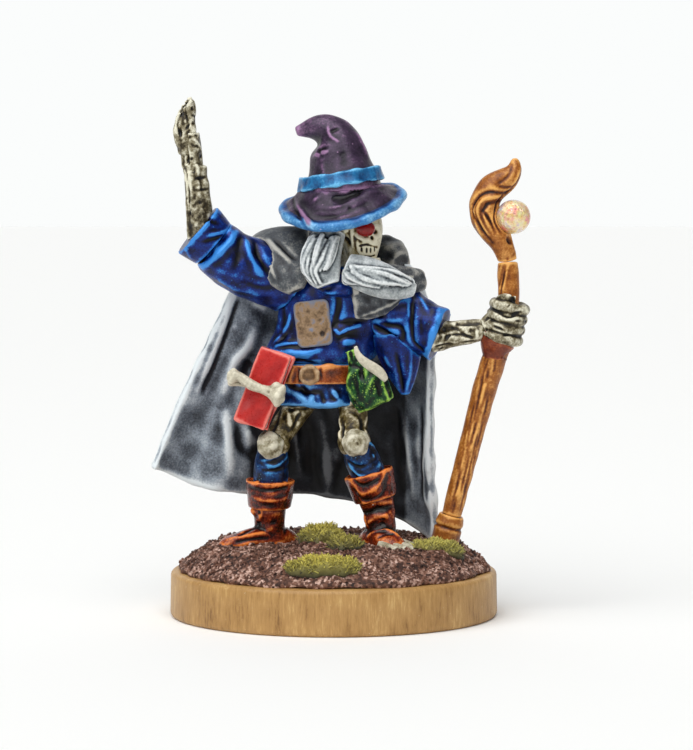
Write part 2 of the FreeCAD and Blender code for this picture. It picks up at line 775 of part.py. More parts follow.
def make_left_hand(sleeve, staff, grip):
    cuff, wrist, hand = point("left_cuff"), point("left_wrist"), point("staff_hand")
    back = (cuff - wrist).normalize() * 0.7
    radius_bone = limb(
        "left_radius", cuff + Vector(0, 0, -0.55) + back, wrist + Vector(0, 0, -0.25),
        "sizes.radius_bone_width * 1.3", "sizes.radius_bone_width",
    )
    ulna_bone = limb(
        "left_ulna", cuff + Vector(0, 0.15, 0.55) + back, wrist + Vector(0, 0.1, 0.5),
        "sizes.ulna_bone_width * 1.2", "sizes.ulna_bone_width",
    )
    bones = fuse("left_forearm_raw", radius_bone, ulna_bone)

    reach = hand - wrist
    palm_raw = loft(
        "left_palm_raw",
        [(wrist + reach * 0.02, 0.75, 1.0), (wrist + reach * 0.35, 1.1, 1.1), (wrist + reach * 0.75, 1.25, 1.0)],
        "sizes.palm_width", "sizes.palm_thickness", Vector(0, 0, 1),
    )
    keep(cut("left_palm", palm_raw, staff, grip), "left_palm")
    keep(cut("left_forearm", bones, sleeve, palm_raw, grip), "left_forearm_bones")

    axis = (point("staff_high") - point("staff_low")).normalize()
    fingers = []
    pitch = size("grip_finger_width") * 0.94
    for number in range(4):
        centre = hand + axis * (1.5 - number) * pitch
        ring = add(
            "Part::Torus",
            f"left_finger_{number}",
            Placement(centre, facing(axis, Vector(-0.9, 0.4, 0))),
            Radius1="(sizes.staff_width + sizes.grip_finger_width * 0.8) / 2",
            Radius2="sizes.grip_finger_width / 2",
            Angle3="285",
        )
        fingers.append(ring)
    thumb_root = hand + axis * pitch * 2.2 + Vector(-0.95, -0.3, 0)
    thumb = loft(
        "left_thumb",
        [(thumb_root, 1.15), (thumb_root + Vector(0.5, -0.62, 0.1), 1.1), (thumb_root + Vector(1.25, -0.72, 0.0), 0.9)],
        "sizes.finger_width",
    )
    digits = fuse("left_digits_raw", *fingers, thumb)
    keep(cut("left_digits", digits, staff, grip, palm_raw), "left_fingers")


# ---------------------------------------------------------------- staff
def make_staff(ground_block):
    foot_at, knee = point("staff_foot"), point("staff_knee")
    rise = (knee - foot_at).normalize()
    foot_at -= rise * size("ferrule_width") * 0.14
    body = new_body("ferrule_body", Placement(foot_at, facing(rise)))
    radius, tall, groove = "sizes.ferrule_width / 2", "sizes.ferrule_height", "sizes.ferrule_groove"
    profile = outline(
        body,
        "ferrule_profile",
        "XZ_Plane",
        [("0", "0"), (f"{radius} * 0.85", "0"), (radius, f"{tall} * 0.1"), (radius, f"{tall} * 0.62"),
         (f"{radius} - {groove}", f"{tall} * 0.68"), (radius, f"{tall} * 0.76"),
         (f"{radius} * 0.86", tall), ("0", tall)],
    )
    revolve(body, profile, "ferrule_turning")
    ferrule = keep(cut("ferrule", body, ground_block), "staff_ferrule")

    start = foot_at + rise * size("ferrule_height")
    shaft = loft(
        "staff_shaft",
        [(start, 0.92), (between(start, knee, 0.5), 0.98), (knee, 1.02), (point("staff_low"), 1.12),
         (point("staff_hand"), 1.0), (point("staff_high"), 0.98), (point("staff_neck"), 0.92)],
        "sizes.staff_width",
    )
    keep(shaft, "staff_shaft")

    low, hand = point("staff_low"), point("staff_hand")
    wrap = loft(
        "grip_raw",
        [(low + Vector(-0.15, 0, -0.5), 0.78), (between(low, hand, 0.15) + Vector(-0.15, 0, 0), 0.95),
         (between(low, hand, 0.4) + Vector(-0.15, 0, 0), 1.08), (between(low, hand, 0.5), 0.9)],
        "sizes.grip_width",
    )
    grip = keep(cut("grip", wrap, shaft), "staff_grip")

    orb_at = point("orb")
    orb = keep(bead("orb_ball", orb_at, "sizes.orb_diameter"), "staff_orb")
    steps = [(-0.8, 0.5, -2.1, 0.72), (-1.75, 0.6, -0.55, 0.97), (-2.15, 0.6, 0.85, 0.95),
             (-1.45, 0.6, 2.2, 0.92), (-0.25, 0.5, 3.05, 0.7), (0.15, 0.5, 3.8, 0.42), (0.1, 0.5, 4.4, 0.15)]
    stations = [(point("staff_neck"), 0.58)]
    stations += [(orb_at + Vector(x, y, z), share) for x, y, z, share in steps]
    curl = loft("head_raw", stations, "sizes.staff_head_width")
    keep(cut("head_cut", curl, orb, shaft), "staff_head")
    return ferrule, shaft, grip


# ---------------------------------------------------------------- head
def gaze():
    """Where the skull looks: forward and to the figure's left, a little down."""
    return Vector(0.74, -0.66, -0.1).normalize()


def head_loft(name, stations, width, depth):
    """Level oval rings turned to the gaze. A station is (height, step ahead, share) from the head's centre."""
    head = point("head")
    ahead = Vector(gaze().x, gaze().y, 0).normalize()
    turn = facing(Vector(0, 0, 1), ahead)
    rings = []
    for number, (height, step, share) in enumerate(stations):
        at = Placement(head + ahead * step + Vector(0, 0, height), turn)
        rings.append(
            add(
                "Part::Ellipse",
                f"{name}_ring_{number}",
                at,
                MajorRadius=f"({depth}) / 2 * {share}",
                MinorRadius=f"({width}) / 2 * {share}",
            )
        )
    body = add("Part::Loft", name)
    body.Sections = rings
    body.Solid = True
    body.Ruled = False
    return body


def make_skull(tunic, collar):
    head, ahead = point("head"), gaze()
    side = ahead.cross(Vector(0, 0, 1)).normalize()
    tall = size("skull_height")
    stations = [(-0.55, 0.85, 0.5), (-0.36, 0.9, 0.6), (-0.14, 0.6, 0.8), (0.1, 0.1, 0.98),
                (0.32, -0.05, 0.93), (0.49, -0.05, 0.78), (0.6, -0.05, 0.5)]
    raw = head_loft(
        "skull_raw", [(tall * height, step, share) for height, step, share in stations],
        "sizes.skull_width", "sizes.skull_length",
    )
    eye_at = head + ahead * 2.0 + side * 0.8
    skull = keep(raw, "skull")
    keep(cut("eye", bead("eye_ball", eye_at, "sizes.eye_diameter"), skull), "right_eye")
    jaw_raw = head_loft(
        "jaw_raw", [(tall * -0.76, 1.35, 0.62), (tall * -0.66, 1.25, 0.95), (tall * -0.52, 1.1, 1.0)],
        "sizes.jaw_width", "sizes.jaw_width * 1.08",
    )
    jaw = keep(cut("jaw", jaw_raw, skull), "jaw")
    neck = limb("neck_raw", point("neck") - Vector(0, 0, 0.6), head - Vector(0, 0, 1),
                "sizes.neck_width", "sizes.neck_width * 0.9")
    keep(cut("neck_cut", neck, tunic, collar, skull, jaw), "neck_bones")
    return skull, jaw, neck


def make_hair(skull, jaw, tunic, *neighbours):
    head = point("head")
    lock = loft(
        "hair_raw",
        [(head + Vector(-1.5, -1.5, 0.0), 0.7, 0.8), (head + Vector(-2.2, -1.8, -1.4), 0.95, 1.0),
         (head + Vector(-2.4, -2.0, -2.8), 1.0, 1.0), (head + Vector(-1.9, -2.2, -4.2), 0.6, 0.7)],
        "sizes.hair_width", "sizes.hair_depth", Vector(1, 0, 0),
    )
    hair = keep(cut("hair", lock, skull, jaw, tunic, *neighbours), "hair_lock")
    beard = loft(
        "beard_raw",
        [(head + Vector(-0.5, -2.2, -2.9), 0.8, 1.0), (head + Vector(0.9, -2.6, -3.4), 1.0, 1.1),
         (head + Vector(2.8, -2.5, -4.1), 0.9, 1.0), (head + Vector(4.6, -2.0, -4.6), 0.35, 0.5)],
        "sizes.beard_width", "sizes.beard_depth", Vector(0, 0, 1),
    )
    keep(cut("beard_cut", beard, skull, jaw, tunic, hair, *neighbours), "beard")


def make_hat(skull):
    head = point("head")
    steps = [(-0.85, 0.4, 2.72, 1.02), (-0.87, 0.4, 3.5, 0.98), (-1.0, 0.5, 4.8, 0.81), (-1.2, 0.6, 5.85, 0.73),
             (-1.5, 0.7, 6.8, 0.6), (-2.2, 0.7, 7.5, 0.42), (-3.4, 0.7, 7.6, 0.25), (-4.35, 0.6, 7.35, 0.12)]
    crown_raw = loft(
        "crown_raw", [(head + Vector(x, y, z), share) for x, y, z, share in steps], "sizes.crown_width"
    )
    crown = keep(cut("crown", crown_raw, skull), "hat_crown")

    droop = facing(Vector(-0.09, -0.33, 1), Vector(1, 0, 0.09))
    edge_at = head + Vector(-0.85, 0.2, 1.7)
    top_at = head + Vector(-0.85, 0.4, 2.9)
    shells = []
    for name, drop in (("brim_upper", 0.0), ("brim_lower", size("brim_thickness"))):
        wide = add(
            "Part::Ellipse", f"{name}_edge", Placement(edge_at - Vector(0, 0, drop), droop),
            MajorRadius="sizes.brim_width / 2", MinorRadius="sizes.brim_width / 2 * 0.92",
        )
        narrow = add(
            "Part::Ellipse", f"{name}_top", Placement(top_at - Vector(0, 0, drop), Rotation()),
            MajorRadius="sizes.crown_width / 2 * 1.06", MinorRadius="sizes.crown_width / 2 * 1.04",
        )
        shell = add("Part::Loft", name)
        shell.Sections = [wide, narrow]
        shell.Solid = True
        shells.append(shell)
    spine = add(
        "Part::Ellipse", "edge_spine", Placement(edge_at - Vector(0, 0, size("brim_thickness") / 2), droop),
        MajorRadius="sizes.brim_width / 2", MinorRadius="sizes.brim_width / 2 * 0.92",
    )
    reach = droop.multVec(Vector(size("brim_width") / 2, 0, 0))
    bead = add(
        "Part::Circle", "edge_bead",
        Placement(spine.Placement.Base + reach, facing(droop.multVec(Vector(0, 1, 0)))),
        Radius="sizes.brim_edge_width / 2",
    )
    edge = add("Part::Sweep", "edge_sweep")
    edge.Sections = [bead]
    edge.Spine = (spine, ["Edge1"])
    edge.Solid = True
    edge.Frenet = True
    keep(edge, "hat_brim_edge")
    brim = cut("brim", shells[0], shells[1], crown_raw, skull, edge)
    keep(brim, "hat_brim")

    band_at = head + Vector(-0.9, 0.42, 3.2)
    band = limb(
        "band_raw", band_at, band_at + Vector(-0.08, 0, 1) * size("band_height"),
        "sizes.crown_width + 2.2 * sizes.band_thickness", "sizes.crown_width * 0.93 + 2 * sizes.band_thickness",
    )
    keep(cut("band", band, crown_raw, brim), "hat_band")


# ---------------------------------------------------------------- cloak
def curve_wire(front, back):
    """A closed wire of two splines, the second run backwards, joined by short straight ends."""
    outer, inner = Part.BSplineCurve(), Part.BSplineCurve()
    outer.interpolate(front)
    inner.interpolate(list(reversed(back)))
    edges = [
        outer.toShape(),
        Part.LineSegment(front[-1], back[-1]).toShape(),
        inner.toShape(),
        Part.LineSegment(back[0], front[0]).toShape(),
    ]
    return Part.Wire(edges)


def cape_wire(height, plan):
    """A level section of the cape. Plan is the inside line, left to right, as (x, y)."""
    thick = size("cape_thickness")
    inside = [Vector(x, y, height) for x, y in plan]
    outside = []
    for number, here in enumerate(inside):
        ahead = inside[min(number + 1, len(inside) - 1)] - inside[max(number - 1, 0)]
        outside.append(here + Vector(-ahead.y, ahead.x, 0).normalize() * thick)
    return curve_wire(inside, outside)


def make_cape(*neighbours):
    """The cloak behind the figure: a wavy sheet that flares to the left and hangs to the ground on the right."""
    floor = ground()
    sections = [
        (21.8, [(-6.4, 1.2), (-4.6, 2.4), (-2.0, 3.0), (0.6, 3.2), (2.8, 2.8), (4.3, 1.9), (5.2, 0.9)]),
        (17.5, [(-8.7, 1.0), (-6.9, 1.7), (-4.6, 2.8), (-0.6, 3.7), (3.2, 3.4), (5.6, 2.3), (7.0, 0.5)]),
        (11.0, [(-11.7, 0.2), (-9.7, 1.2), (-7.0, 1.7), (-2.2, 4.6), (3.0, 4.6), (5.8, 3.0), (7.1, 0.7)]),
        (5.0, [(-14.0, -0.2), (-11.8, 1.4), (-8.8, 1.3), (-3.0, 5.2), (2.8, 5.0), (6.0, 3.2), (7.2, 1.0)]),
        (0.3, [(-15.6, -0.4), (-13.2, 1.5), (-10.0, 1.2), (-3.4, 5.6), (2.8, 5.2), (6.2, 3.2), (7.6, 1.1)]),
    ]
    wires = [cape_wire(floor + height, plan) for height, plan in sections]
    sheet_solid = Part.makeLoft(wires, True, False)
    hem = [Vector(x, -4, floor + height) for x, height in
           [(-17.0, 6.9), (-13.7, 5.9), (-11.1, 4.7), (-2.3, 3.4), (2.0, 2.7), (5.5, 1.4), (8.0, -0.1), (10.0, -1.5)]]
    line = Part.BSplineCurve()
    line.interpolate(hem)
    below = Vector(0, 0, -9)
    face = Part.Face(
        Part.Wire(
            [
                line.toShape(),
                Part.LineSegment(hem[-1], hem[-1] + below).toShape(),
                Part.LineSegment(hem[-1] + below, hem[0] + below).toShape(),
                Part.LineSegment(hem[0] + below, hem[0]).toShape(),
            ]
        )
    )
    waste = face.extrude(Vector(0, 14, 0))
    cape = doc.addObject("Part::Feature", "cape_sheet")
    cape.Shape = sheet_solid.cut(waste)
    return keep(cut("cape", cape, *neighbours), "cape")


def make_mantle(tunic, right_sleeve, left_sleeve, collar, *head_pieces):
    """The two fronts of the cloak over the shoulders, and its hood lying behind the neck."""
    shoulder, neck = point("right_shoulder"), point("neck")
    depth = "sizes.mantle_thickness * 2"
    right = loft(
        "mantle_right_raw",
        [(shoulder + Vector(-1.0, 1.0, 4.2), 1.0, 1.0), (shoulder + Vector(-1.3, -0.6, 3.2), 1.15, 1.1),
         (shoulder + Vector(-0.6, -1.9, 1.6), 0.95, 1.0), (shoulder + Vector(0.1, -2.4, -0.1), 0.3, 0.7)],
        "sizes.mantle_width", depth, Vector(1, 0, 0.25),
    )
    right = keep(cut("mantle_right", right, tunic, right_sleeve, collar), "mantle_right")
    left = loft(
        "mantle_left_raw",
        [(neck + Vector(6.0, -0.6, -1.0), 0.4, 1.0), (neck + Vector(4.2, -1.8, -1.3), 0.72, 1.1),
         (neck + Vector(2.2, -2.4, -1.7), 1.0, 1.1), (neck + Vector(0.7, -2.7, -1.9), 0.9, 0.8)],
        "sizes.mantle_width", depth, Vector(0, 0, 1),
    )
    left = keep(cut("mantle_left", left, tunic, left_sleeve, collar, *head_pieces), "mantle_left")
    hood = loft(
        "hood_raw",
        [(neck + Vector(-4.6, 1.4, 1.7), 0.9), (neck + Vector(-2.4, 2.9, 1.7), 1.15),
         (neck + Vector(0.4, 3.4, 1.4), 1.25), (neck + Vector(2.8, 2.6, 1.3), 1.2), (neck + Vector(4.4, 0.7, 0.2), 0.9)],
        "sizes.hood_width", "sizes.hood_width * 0.98", Vector(0, 0, 1),
    )
    hood = keep(cut("hood", hood, tunic, right_sleeve, left_sleeve, right, left), "hood")
    return right, left, hood


# ---------------------------------------------------------------- the whole figure
def build():
    fill_sheet()
    disc = make_base()
    stand = make_stand()
    ground_block = add("Part::Box", "ground_block", Vector(-15, -15, ground() - 3))
    ground_block.Length, ground_block.Width, ground_block.Height = 30, 30, 3

    tunic, skirt = make_tunic()
    belt = make_belt(tunic, skirt)
    collar = make_collar(tunic)
    make_patch(tunic)
    right_boot, right_thigh = make_leg("right", ground_block, skirt, 1.0)
    left_boot, left_thigh = make_leg("left", ground_block, skirt, 0.85)
    toes = make_toe_bones(left_boot, ground_block)
    right_sleeve = make_right_arm(tunic)
    left_sleeve, drape = make_left_sleeve(tunic)
    ferrule, shaft, grip = make_staff(ground_block)
    make_left_hand(left_sleeve, shaft, grip)
    make_book(belt, skirt, tunic, right_thigh)
    make_charm()
    pouch = make_pouch(belt, skirt, tunic, left_sleeve, drape, left_thigh)
    skull, jaw, neck = make_skull(tunic, collar)
    right, left, hood = make_mantle(tunic, right_sleeve, left_sleeve, collar, skull, jaw, neck)
    make_hair(skull, jaw, tunic, collar, right, left)
    make_hat(skull)
    cape = make_cape(hood, right_sleeve, left_sleeve, right, drape, ferrule)
    earth = make_earth(stand, right_boot, left_boot, toes, ferrule, cape)
    make_grass(toes, earth, disc, stand)


def check_and_export():
    doc.recompute()
    broken = [feature.Name for feature in doc.Objects if {"Invalid", "Error"} & set(feature.State)]
    if broken:
        raise RuntimeError(f"features failed: {broken}")
    for feature in subparts:
        shape = feature.Shape
        if shape.isNull() or not shape.isValid() or not shape.Solids:
            raise RuntimeError(f"{feature.Label} is not a valid solid")
    os.makedirs("parts", exist_ok=True)
    for feature in subparts:
        feature.Shape.exportStep(os.path.join("parts", f"{feature.Label}.step"))
        print(f"{feature.Label}: {len(feature.Shape.Solids)} solids, {feature.Shape.Volume:.2f} mm3")


build()
check_and_export()
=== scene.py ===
import math
import random

import bmesh
import bpy
import numpy as np
from mathutils import Euler, Matrix, Vector
from mathutils.bvhtree import BVHTree


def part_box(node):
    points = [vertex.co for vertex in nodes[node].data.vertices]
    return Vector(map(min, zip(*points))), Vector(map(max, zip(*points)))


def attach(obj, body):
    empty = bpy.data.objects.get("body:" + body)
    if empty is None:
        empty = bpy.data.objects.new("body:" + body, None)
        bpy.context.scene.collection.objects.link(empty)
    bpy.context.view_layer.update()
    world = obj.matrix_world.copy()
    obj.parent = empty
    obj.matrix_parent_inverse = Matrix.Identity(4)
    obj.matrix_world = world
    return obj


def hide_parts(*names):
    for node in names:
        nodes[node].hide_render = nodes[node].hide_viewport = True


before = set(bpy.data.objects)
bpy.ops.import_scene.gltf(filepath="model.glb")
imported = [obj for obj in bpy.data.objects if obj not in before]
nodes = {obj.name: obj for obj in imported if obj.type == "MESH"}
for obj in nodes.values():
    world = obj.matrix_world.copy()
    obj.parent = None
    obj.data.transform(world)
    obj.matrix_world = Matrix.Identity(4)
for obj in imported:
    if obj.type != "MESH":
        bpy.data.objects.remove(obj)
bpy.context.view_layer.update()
sceneRoot = bpy.context.scene.collection
mm = 0.001      # shapes are modelled in millimetres and shrunk to metres when they are finished


def nodeBox(name):
    low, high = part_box(name)
    return Vector(low) / mm, Vector(high) / mm


def blank():
    return bmesh.new()


def addNode(clay, name):
    # a merged copy of the frame's own solid, as the first lump of a piece
    lump = bmesh.new()
    lump.from_mesh(nodes[name].data)
    bmesh.ops.remove_doubles(lump, verts=lump.verts, dist=1e-7)
    bmesh.ops.scale(lump, vec=(1 / mm, 1 / mm, 1 / mm), verts=lump.verts)
    carrier = bpy.data.meshes.new("lump")
    lump.to_mesh(carrier)
    lump.free()
    clay.from_mesh(carrier)
    bpy.data.meshes.remove(carrier)
    return clay


def addBall(clay, at, size, turn=(0, 0, 0), fine=2):
    # size is the three full widths
    place = Matrix.Translation(Vector(at)) @ Euler(turn).to_matrix().to_4x4()
    place = place @ Matrix.Diagonal((size[0] / 2, size[1] / 2, size[2] / 2, 1))
    bmesh.ops.create_icosphere(clay, subdivisions=fine, radius=1, matrix=place)
    return clay


def smoothLine(points, step):
    # a Catmull-Rom curve through the points, read every step millimetres or so
    points = [Vector(p) for p in points]
    if len(points) == 1:
        return points, [0.0]
    run, share = [], []
    last = len(points) - 1
    for number in range(last):
        before = points[max(number - 1, 0)]
        here, there = points[number], points[number + 1]
        after = points[min(number + 2, last)]
        count = max(1, int((there - here).length / step))
        for part in range(count):
            t = part / count
            a = here * 2
            b = (there - before) * t
            c = (before * 2 - here * 5 + there * 4 - after) * t * t
            d = (here * 3 - before - there * 3 + after) * t ** 3
            run.append((a + b + c + d) / 2)
            share.append((number + t) / last)
    run.append(points[-1])
    share.append(1.0)
    return run, share


def addRope(clay, points, widths):
    # a string of overlapping balls along a curve: the remesh melts them into one roll
    run, share = smoothLine(points, max(0.1, min(widths) * 0.28))
    stops = np.linspace(0, 1, len(widths))
    for at, here in zip(run, share):
        wide = float(np.interp(here, stops, widths))
        addBall(clay, at, (wide, wide, wide), fine=1)


def settle(clay, name):
    # the clay becomes a piece in the scene
    carrier = bpy.data.meshes.new(name)
    clay.to_mesh(carrier)
    clay.free()
    piece = bpy.data.objects.new(name, carrier)
    sceneRoot.objects.link(piece)
    return piece


def bake(clay, name, voxel, soften):
    # one closed skin over everything in the lump
    piece = settle(clay, name)
    wrap = piece.modifiers.new("skin", "REMESH")
    wrap.mode = "VOXEL"
    wrap.voxel_size = voxel
    view = bpy.context.evaluated_depsgraph_get()
    piece.data = bpy.data.meshes.new_from_object(piece.evaluated_get(view))
    piece.data.name = name
    piece.modifiers.clear()
    if soften:
        Form(piece).soften(soften)
    return piece


def blur(values, edges, rounds):
    # every point's value moves halfway to the mean of its neighbours'
    count = len(values)
    flat = values.reshape(count, -1)
    degree = np.maximum(np.bincount(edges.ravel(), minlength=count), 1)
    for _ in range(rounds):
        columns = []
        for column in flat.T:
            total = np.bincount(edges[:, 0], column[edges[:, 1]], count)
            total += np.bincount(edges[:, 1], column[edges[:, 0]], count)
            columns.append(total / degree)
        flat = (flat + np.stack(columns, 1)) / 2
    return flat.reshape(values.shape)


class Form:
    # the points, normals and edges of a piece, held as arrays while it is being sculpted

    def __init__(self, piece):
        self.mesh = piece.data
        count = len(self.mesh.vertices)
        at = np.empty(count * 3)
        self.mesh.vertices.foreach_get("co", at)
        self.at = at.reshape(count, 3)
        edges = np.empty(len(self.mesh.edges) * 2, dtype=np.int32)
        self.mesh.edges.foreach_get("vertices", edges)
        self.edges = edges.reshape(-1, 2)

    def write(self):
        self.mesh.vertices.foreach_set("co", self.at.ravel())
        self.mesh.update()

    def normals(self):
        out = np.empty(self.at.size)
        self.mesh.vertices.foreach_get("normal", out)
        return out.reshape(-1, 3)

    def near(self, points, width):
        # 1 along the middle of the line, fading to nothing at its ends and to its sides
        run, shares = smoothLine(points, 0.3)
        line = np.array([tuple(p) for p in run])
        low, high = line.min(0) - width * 2.5, line.max(0) + width * 2.5
        reach = np.where(((self.at > low) & (self.at < high)).all(1))[0]
        out = np.zeros(len(self.at))
        if len(reach) == 0:
            return out
        here = self.at[reach]
        best = ((here - line[0]) ** 2).sum(1)
        place = np.full(len(reach), 0.5 if len(line) == 1 else 0.0)
        for number in range(len(line) - 1):
            start, along = line[number], line[number + 1] - line[number]
            t = np.clip((here - start) @ along / max(along @ along, 1e-9), 0, 1)
            away = ((here - start - t[:, None] * along) ** 2).sum(1)
            closer = away < best
            best[closer] = away[closer]
            step = shares[number + 1] - shares[number]
            place[closer] = (shares[number] + t * step)[closer]
        fade = np.sin(np.clip(place * 0.9 + 0.05, 0, 1) * math.pi) ** 0.6
        out[reach] = np.exp(-best / width ** 2) * fade
        return out

    def push(self, amount):
        # out along the normals, in millimetres
        self.at = self.at + self.normals() * amount[:, None]
        self.write()

    def strokes(self, strokes):
        # each stroke is (points, width, height): a ridge, or a groove below zero
        amount = np.zeros(len(self.at))
        for points, width, height in strokes:
            amount += self.near(points, width) * height
        self.push(amount)

    def ripple(self, size, height, seed):
        # a rolling unevenness from a few crossed waves
        dice = np.random.default_rng(seed)
        total = np.zeros(len(self.at))
        for _ in range(9):
            way = dice.normal(size=3)
            way = way / np.linalg.norm(way)
            length = size * dice.uniform(0.7, 1.4)
            total += np.sin(self.at @ way * (2 * math.pi / length) + dice.uniform(0, 6.3))
        self.push(total / 3 * height)

    def soften(self, rounds):
        self.at = blur(self.at, self.edges, rounds)
        self.write()


def keepValue(piece, name, values):
    field = piece.data.attributes.new(name, "FLOAT", "POINT")
    field.data.foreach_set("value", values.astype(np.float32))


def hand(piece, coat, *stoodFor):
    # a finished piece is shrunk to metres, painted and handed to its body; coat is (material, slot), and
    # the slot is not used
    material, slot = coat
    piece.data.transform(Matrix.Diagonal((mm, mm, mm, 1)))
    piece.data.materials.clear()
    piece.data.materials.append(material)
    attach(piece, "root")
    if stoodFor:
        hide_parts(*stoodFor)


def finish(piece, coat, *stoodFor, extra=None):
    # measures where paint would pool and where a dry brush would catch
    form = Form(piece)
    normals = form.normals()
    relief = np.full(len(form.at), 0.5)
    for rounds, weight in ((5, 0.14), (30, 0.17)):
        proud = ((form.at - blur(form.at, form.edges, rounds)) * normals).sum(1)
        relief += weight * proud / (np.abs(proud).mean() * 2.5 + 1e-9)
    keepValue(piece, "relief", np.clip(relief, 0, 1))
    for name, values in (extra or {}).items():
        keepValue(piece, name, values)
    piece.data.polygons.foreach_set("use_smooth", [True] * len(piece.data.polygons))
    hand(piece, coat, *stoodFor)


def tint(red, green, blue):
    # a colour named by its everyday 0-255 values
    def linear(value):
        value = value / 255
        return value / 12.92 if value <= 0.04045 else ((value + 0.055) / 1.055) ** 2.4
    return (linear(red), linear(green), linear(blue), 1.0)


class Paint:
    # a small helper round one material's node tree

    def __init__(self, name, settings):
        self.material = bpy.data.materials.new(name)
        self.material.use_nodes = True
        self.tree = self.material.node_tree
        self.shader = self.tree.nodes["Principled BSDF"]
        self.where = self.node("ShaderNodeTexCoord").outputs["Object"]
        for socket, value in settings.items():
            self.shader.inputs[socket].default_value = value

    def node(self, kind, **values):
        made = self.tree.nodes.new(kind)
        for name, value in values.items():
            setattr(made, name, value)
        return made

    def link(self, start, end):
        self.tree.links.new(start, end)

    def noise(self, size, detail=4.0, rough=0.6, stretch=(1, 1, 1)):
        # size is the width of a blotch in millimetres
        place = self.node("ShaderNodeMapping")
        place.inputs["Scale"].default_value = stretch
        self.link(self.where, place.inputs["Vector"])
        made = self.node("ShaderNodeTexNoise")
        made.inputs["Scale"].default_value = 1 / (size * mm)
        made.inputs["Detail"].default_value = detail
        made.inputs["Roughness"].default_value = rough
        self.link(place.outputs["Vector"], made.inputs["Vector"])
        return made.outputs["Fac"]

    def cells(self, size, output="Distance"):
        made = self.node("ShaderNodeTexVoronoi")
        made.inputs["Scale"].default_value = 1 / (size * mm)
        self.link(self.where, made.inputs["Vector"])
        return made.outputs[output]

    def field(self, name):
        return self.node("ShaderNodeAttribute", attribute_name=name).outputs["Fac"]

    def feed(self, sockets, values):
        # plain values are set on their sockets, outputs of other nodes are linked
        for socket, value in zip(sockets, values):
            if isinstance(value, (int, float, tuple)):
                socket.default_value = value
            else:
                self.link(value, socket)

    def maths(self, how, *values):
        made = self.node("ShaderNodeMath", operation=how)
        self.feed(made.inputs, values)
        return made.outputs[0]

    def ramp(self, value, stops):
        # stops are (place, colour)
        made = self.node("ShaderNodeValToRGB")
        line = made.color_ramp
        while len(line.elements) < len(stops):
            line.elements.new(0.5)
        for element, (place, colour) in zip(line.elements, stops):
            element.position = place
            element.color = colour
        self.link(value, made.inputs["Fac"])
        return made.outputs["Color"]

    def mix(self, share, first, second, how="MIX"):
        made = self.node("ShaderNodeMix", data_type="RGBA", blend_type=how)
        self.feed([made.inputs[number] for number in (0, 6, 7)], (share, first, second))
        return made.outputs[2]

    def threshold(self, value, low, high):
        made = self.node("ShaderNodeMapRange", interpolation_type="SMOOTHSTEP")
        made.inputs["From Min"].default_value = low
        made.inputs["From Max"].default_value = high
        self.link(value, made.inputs["Value"])
        return made.outputs["Result"]

    def colour(self, value):
        self.link(value, self.shader.inputs["Base Color"])

    def bump(self, height, deep, strength):
        made = self.node("ShaderNodeBump")
        made.inputs["Strength"].default_value = strength
        made.inputs["Distance"].default_value = deep * mm
        self.link(height, made.inputs["Height"])
        self.link(made.outputs["Normal"], self.shader.inputs["Normal"])


washes = (0.35, 0.5, 0.7, 1.0)      # how far the coats are let down with black, recesses first


def coats(stops, shares=(1, 1, 1, 1)):
    # stops are (place, red, green, blue)
    line = []
    for (place, *rgb), share in zip(stops, shares):
        line.append((place, tuple(min(1, value * share) for value in tint(*rgb)[:3]) + (1,)))
    return line


def figurePaint(name, look):
    # wash in the recesses, base coat, layered highlight, an edge caught by a dry brush
    paint = Paint(name, {
        "Specular IOR Level": 0.3, "Coat Weight": look["coat"], "Coat Roughness": 0.18,
        "Metallic": look.get("metal", 0.0),
    })
    shares = look.get("thin", washes)
    relief = paint.field("relief")
    blotch = paint.noise(look.get("blotch", 0.9), 5, 0.65)
    speckle = paint.noise(look.get("speckle", 0.16), 3, 0.6)
    shifted = relief
    for stain, strength in ((blotch, look.get("uneven", 0.55)), (speckle, look.get("grain", 0.35))):
        shifted = paint.maths("MULTIPLY_ADD", paint.maths("SUBTRACT", stain, 0.5), strength, shifted)
    colour = paint.ramp(shifted, coats(look["coats"], shares))
    # a second set of coats where a field marks it: the hat's blue turned edge is real paint, the cape's
    # darker inside behind the legs is painted shade
    if "second" in look:
        chosen = paint.threshold(paint.field(look["where"]), 0.25, 0.75)
        colour = paint.mix(chosen, colour, paint.ramp(shifted, coats(look["second"], washes)))
    # painted glints: bright flecks on raised parts stand for light caught by the glitter and gloss of the
    # paint
    if "glintFleck" in look:
        size, share, *bright = look["glintFleck"]
        chosen = paint.threshold(paint.cells(size, "Color"), 1 - share, 1 - share * 0.7)
        glintSpot = paint.maths("MULTIPLY", chosen, paint.threshold(paint.cells(size), 0.42, 0.25))
        glintSpot = paint.maths("MULTIPLY", glintSpot, paint.threshold(relief, 0.35, 0.75))
        colour = paint.mix(glintSpot, colour, tint(*bright))
    paint.colour(colour)
    rough = paint.maths("MULTIPLY_ADD", speckle, 0.25, look["rough"] - 0.12)
    paint.link(rough, paint.shader.inputs["Roughness"])
    dabs = paint.maths("ADD", paint.noise(0.35), paint.maths("MULTIPLY", speckle, 0.6))
    paint.bump(dabs, 0.05, 0.8)
    return paint.material
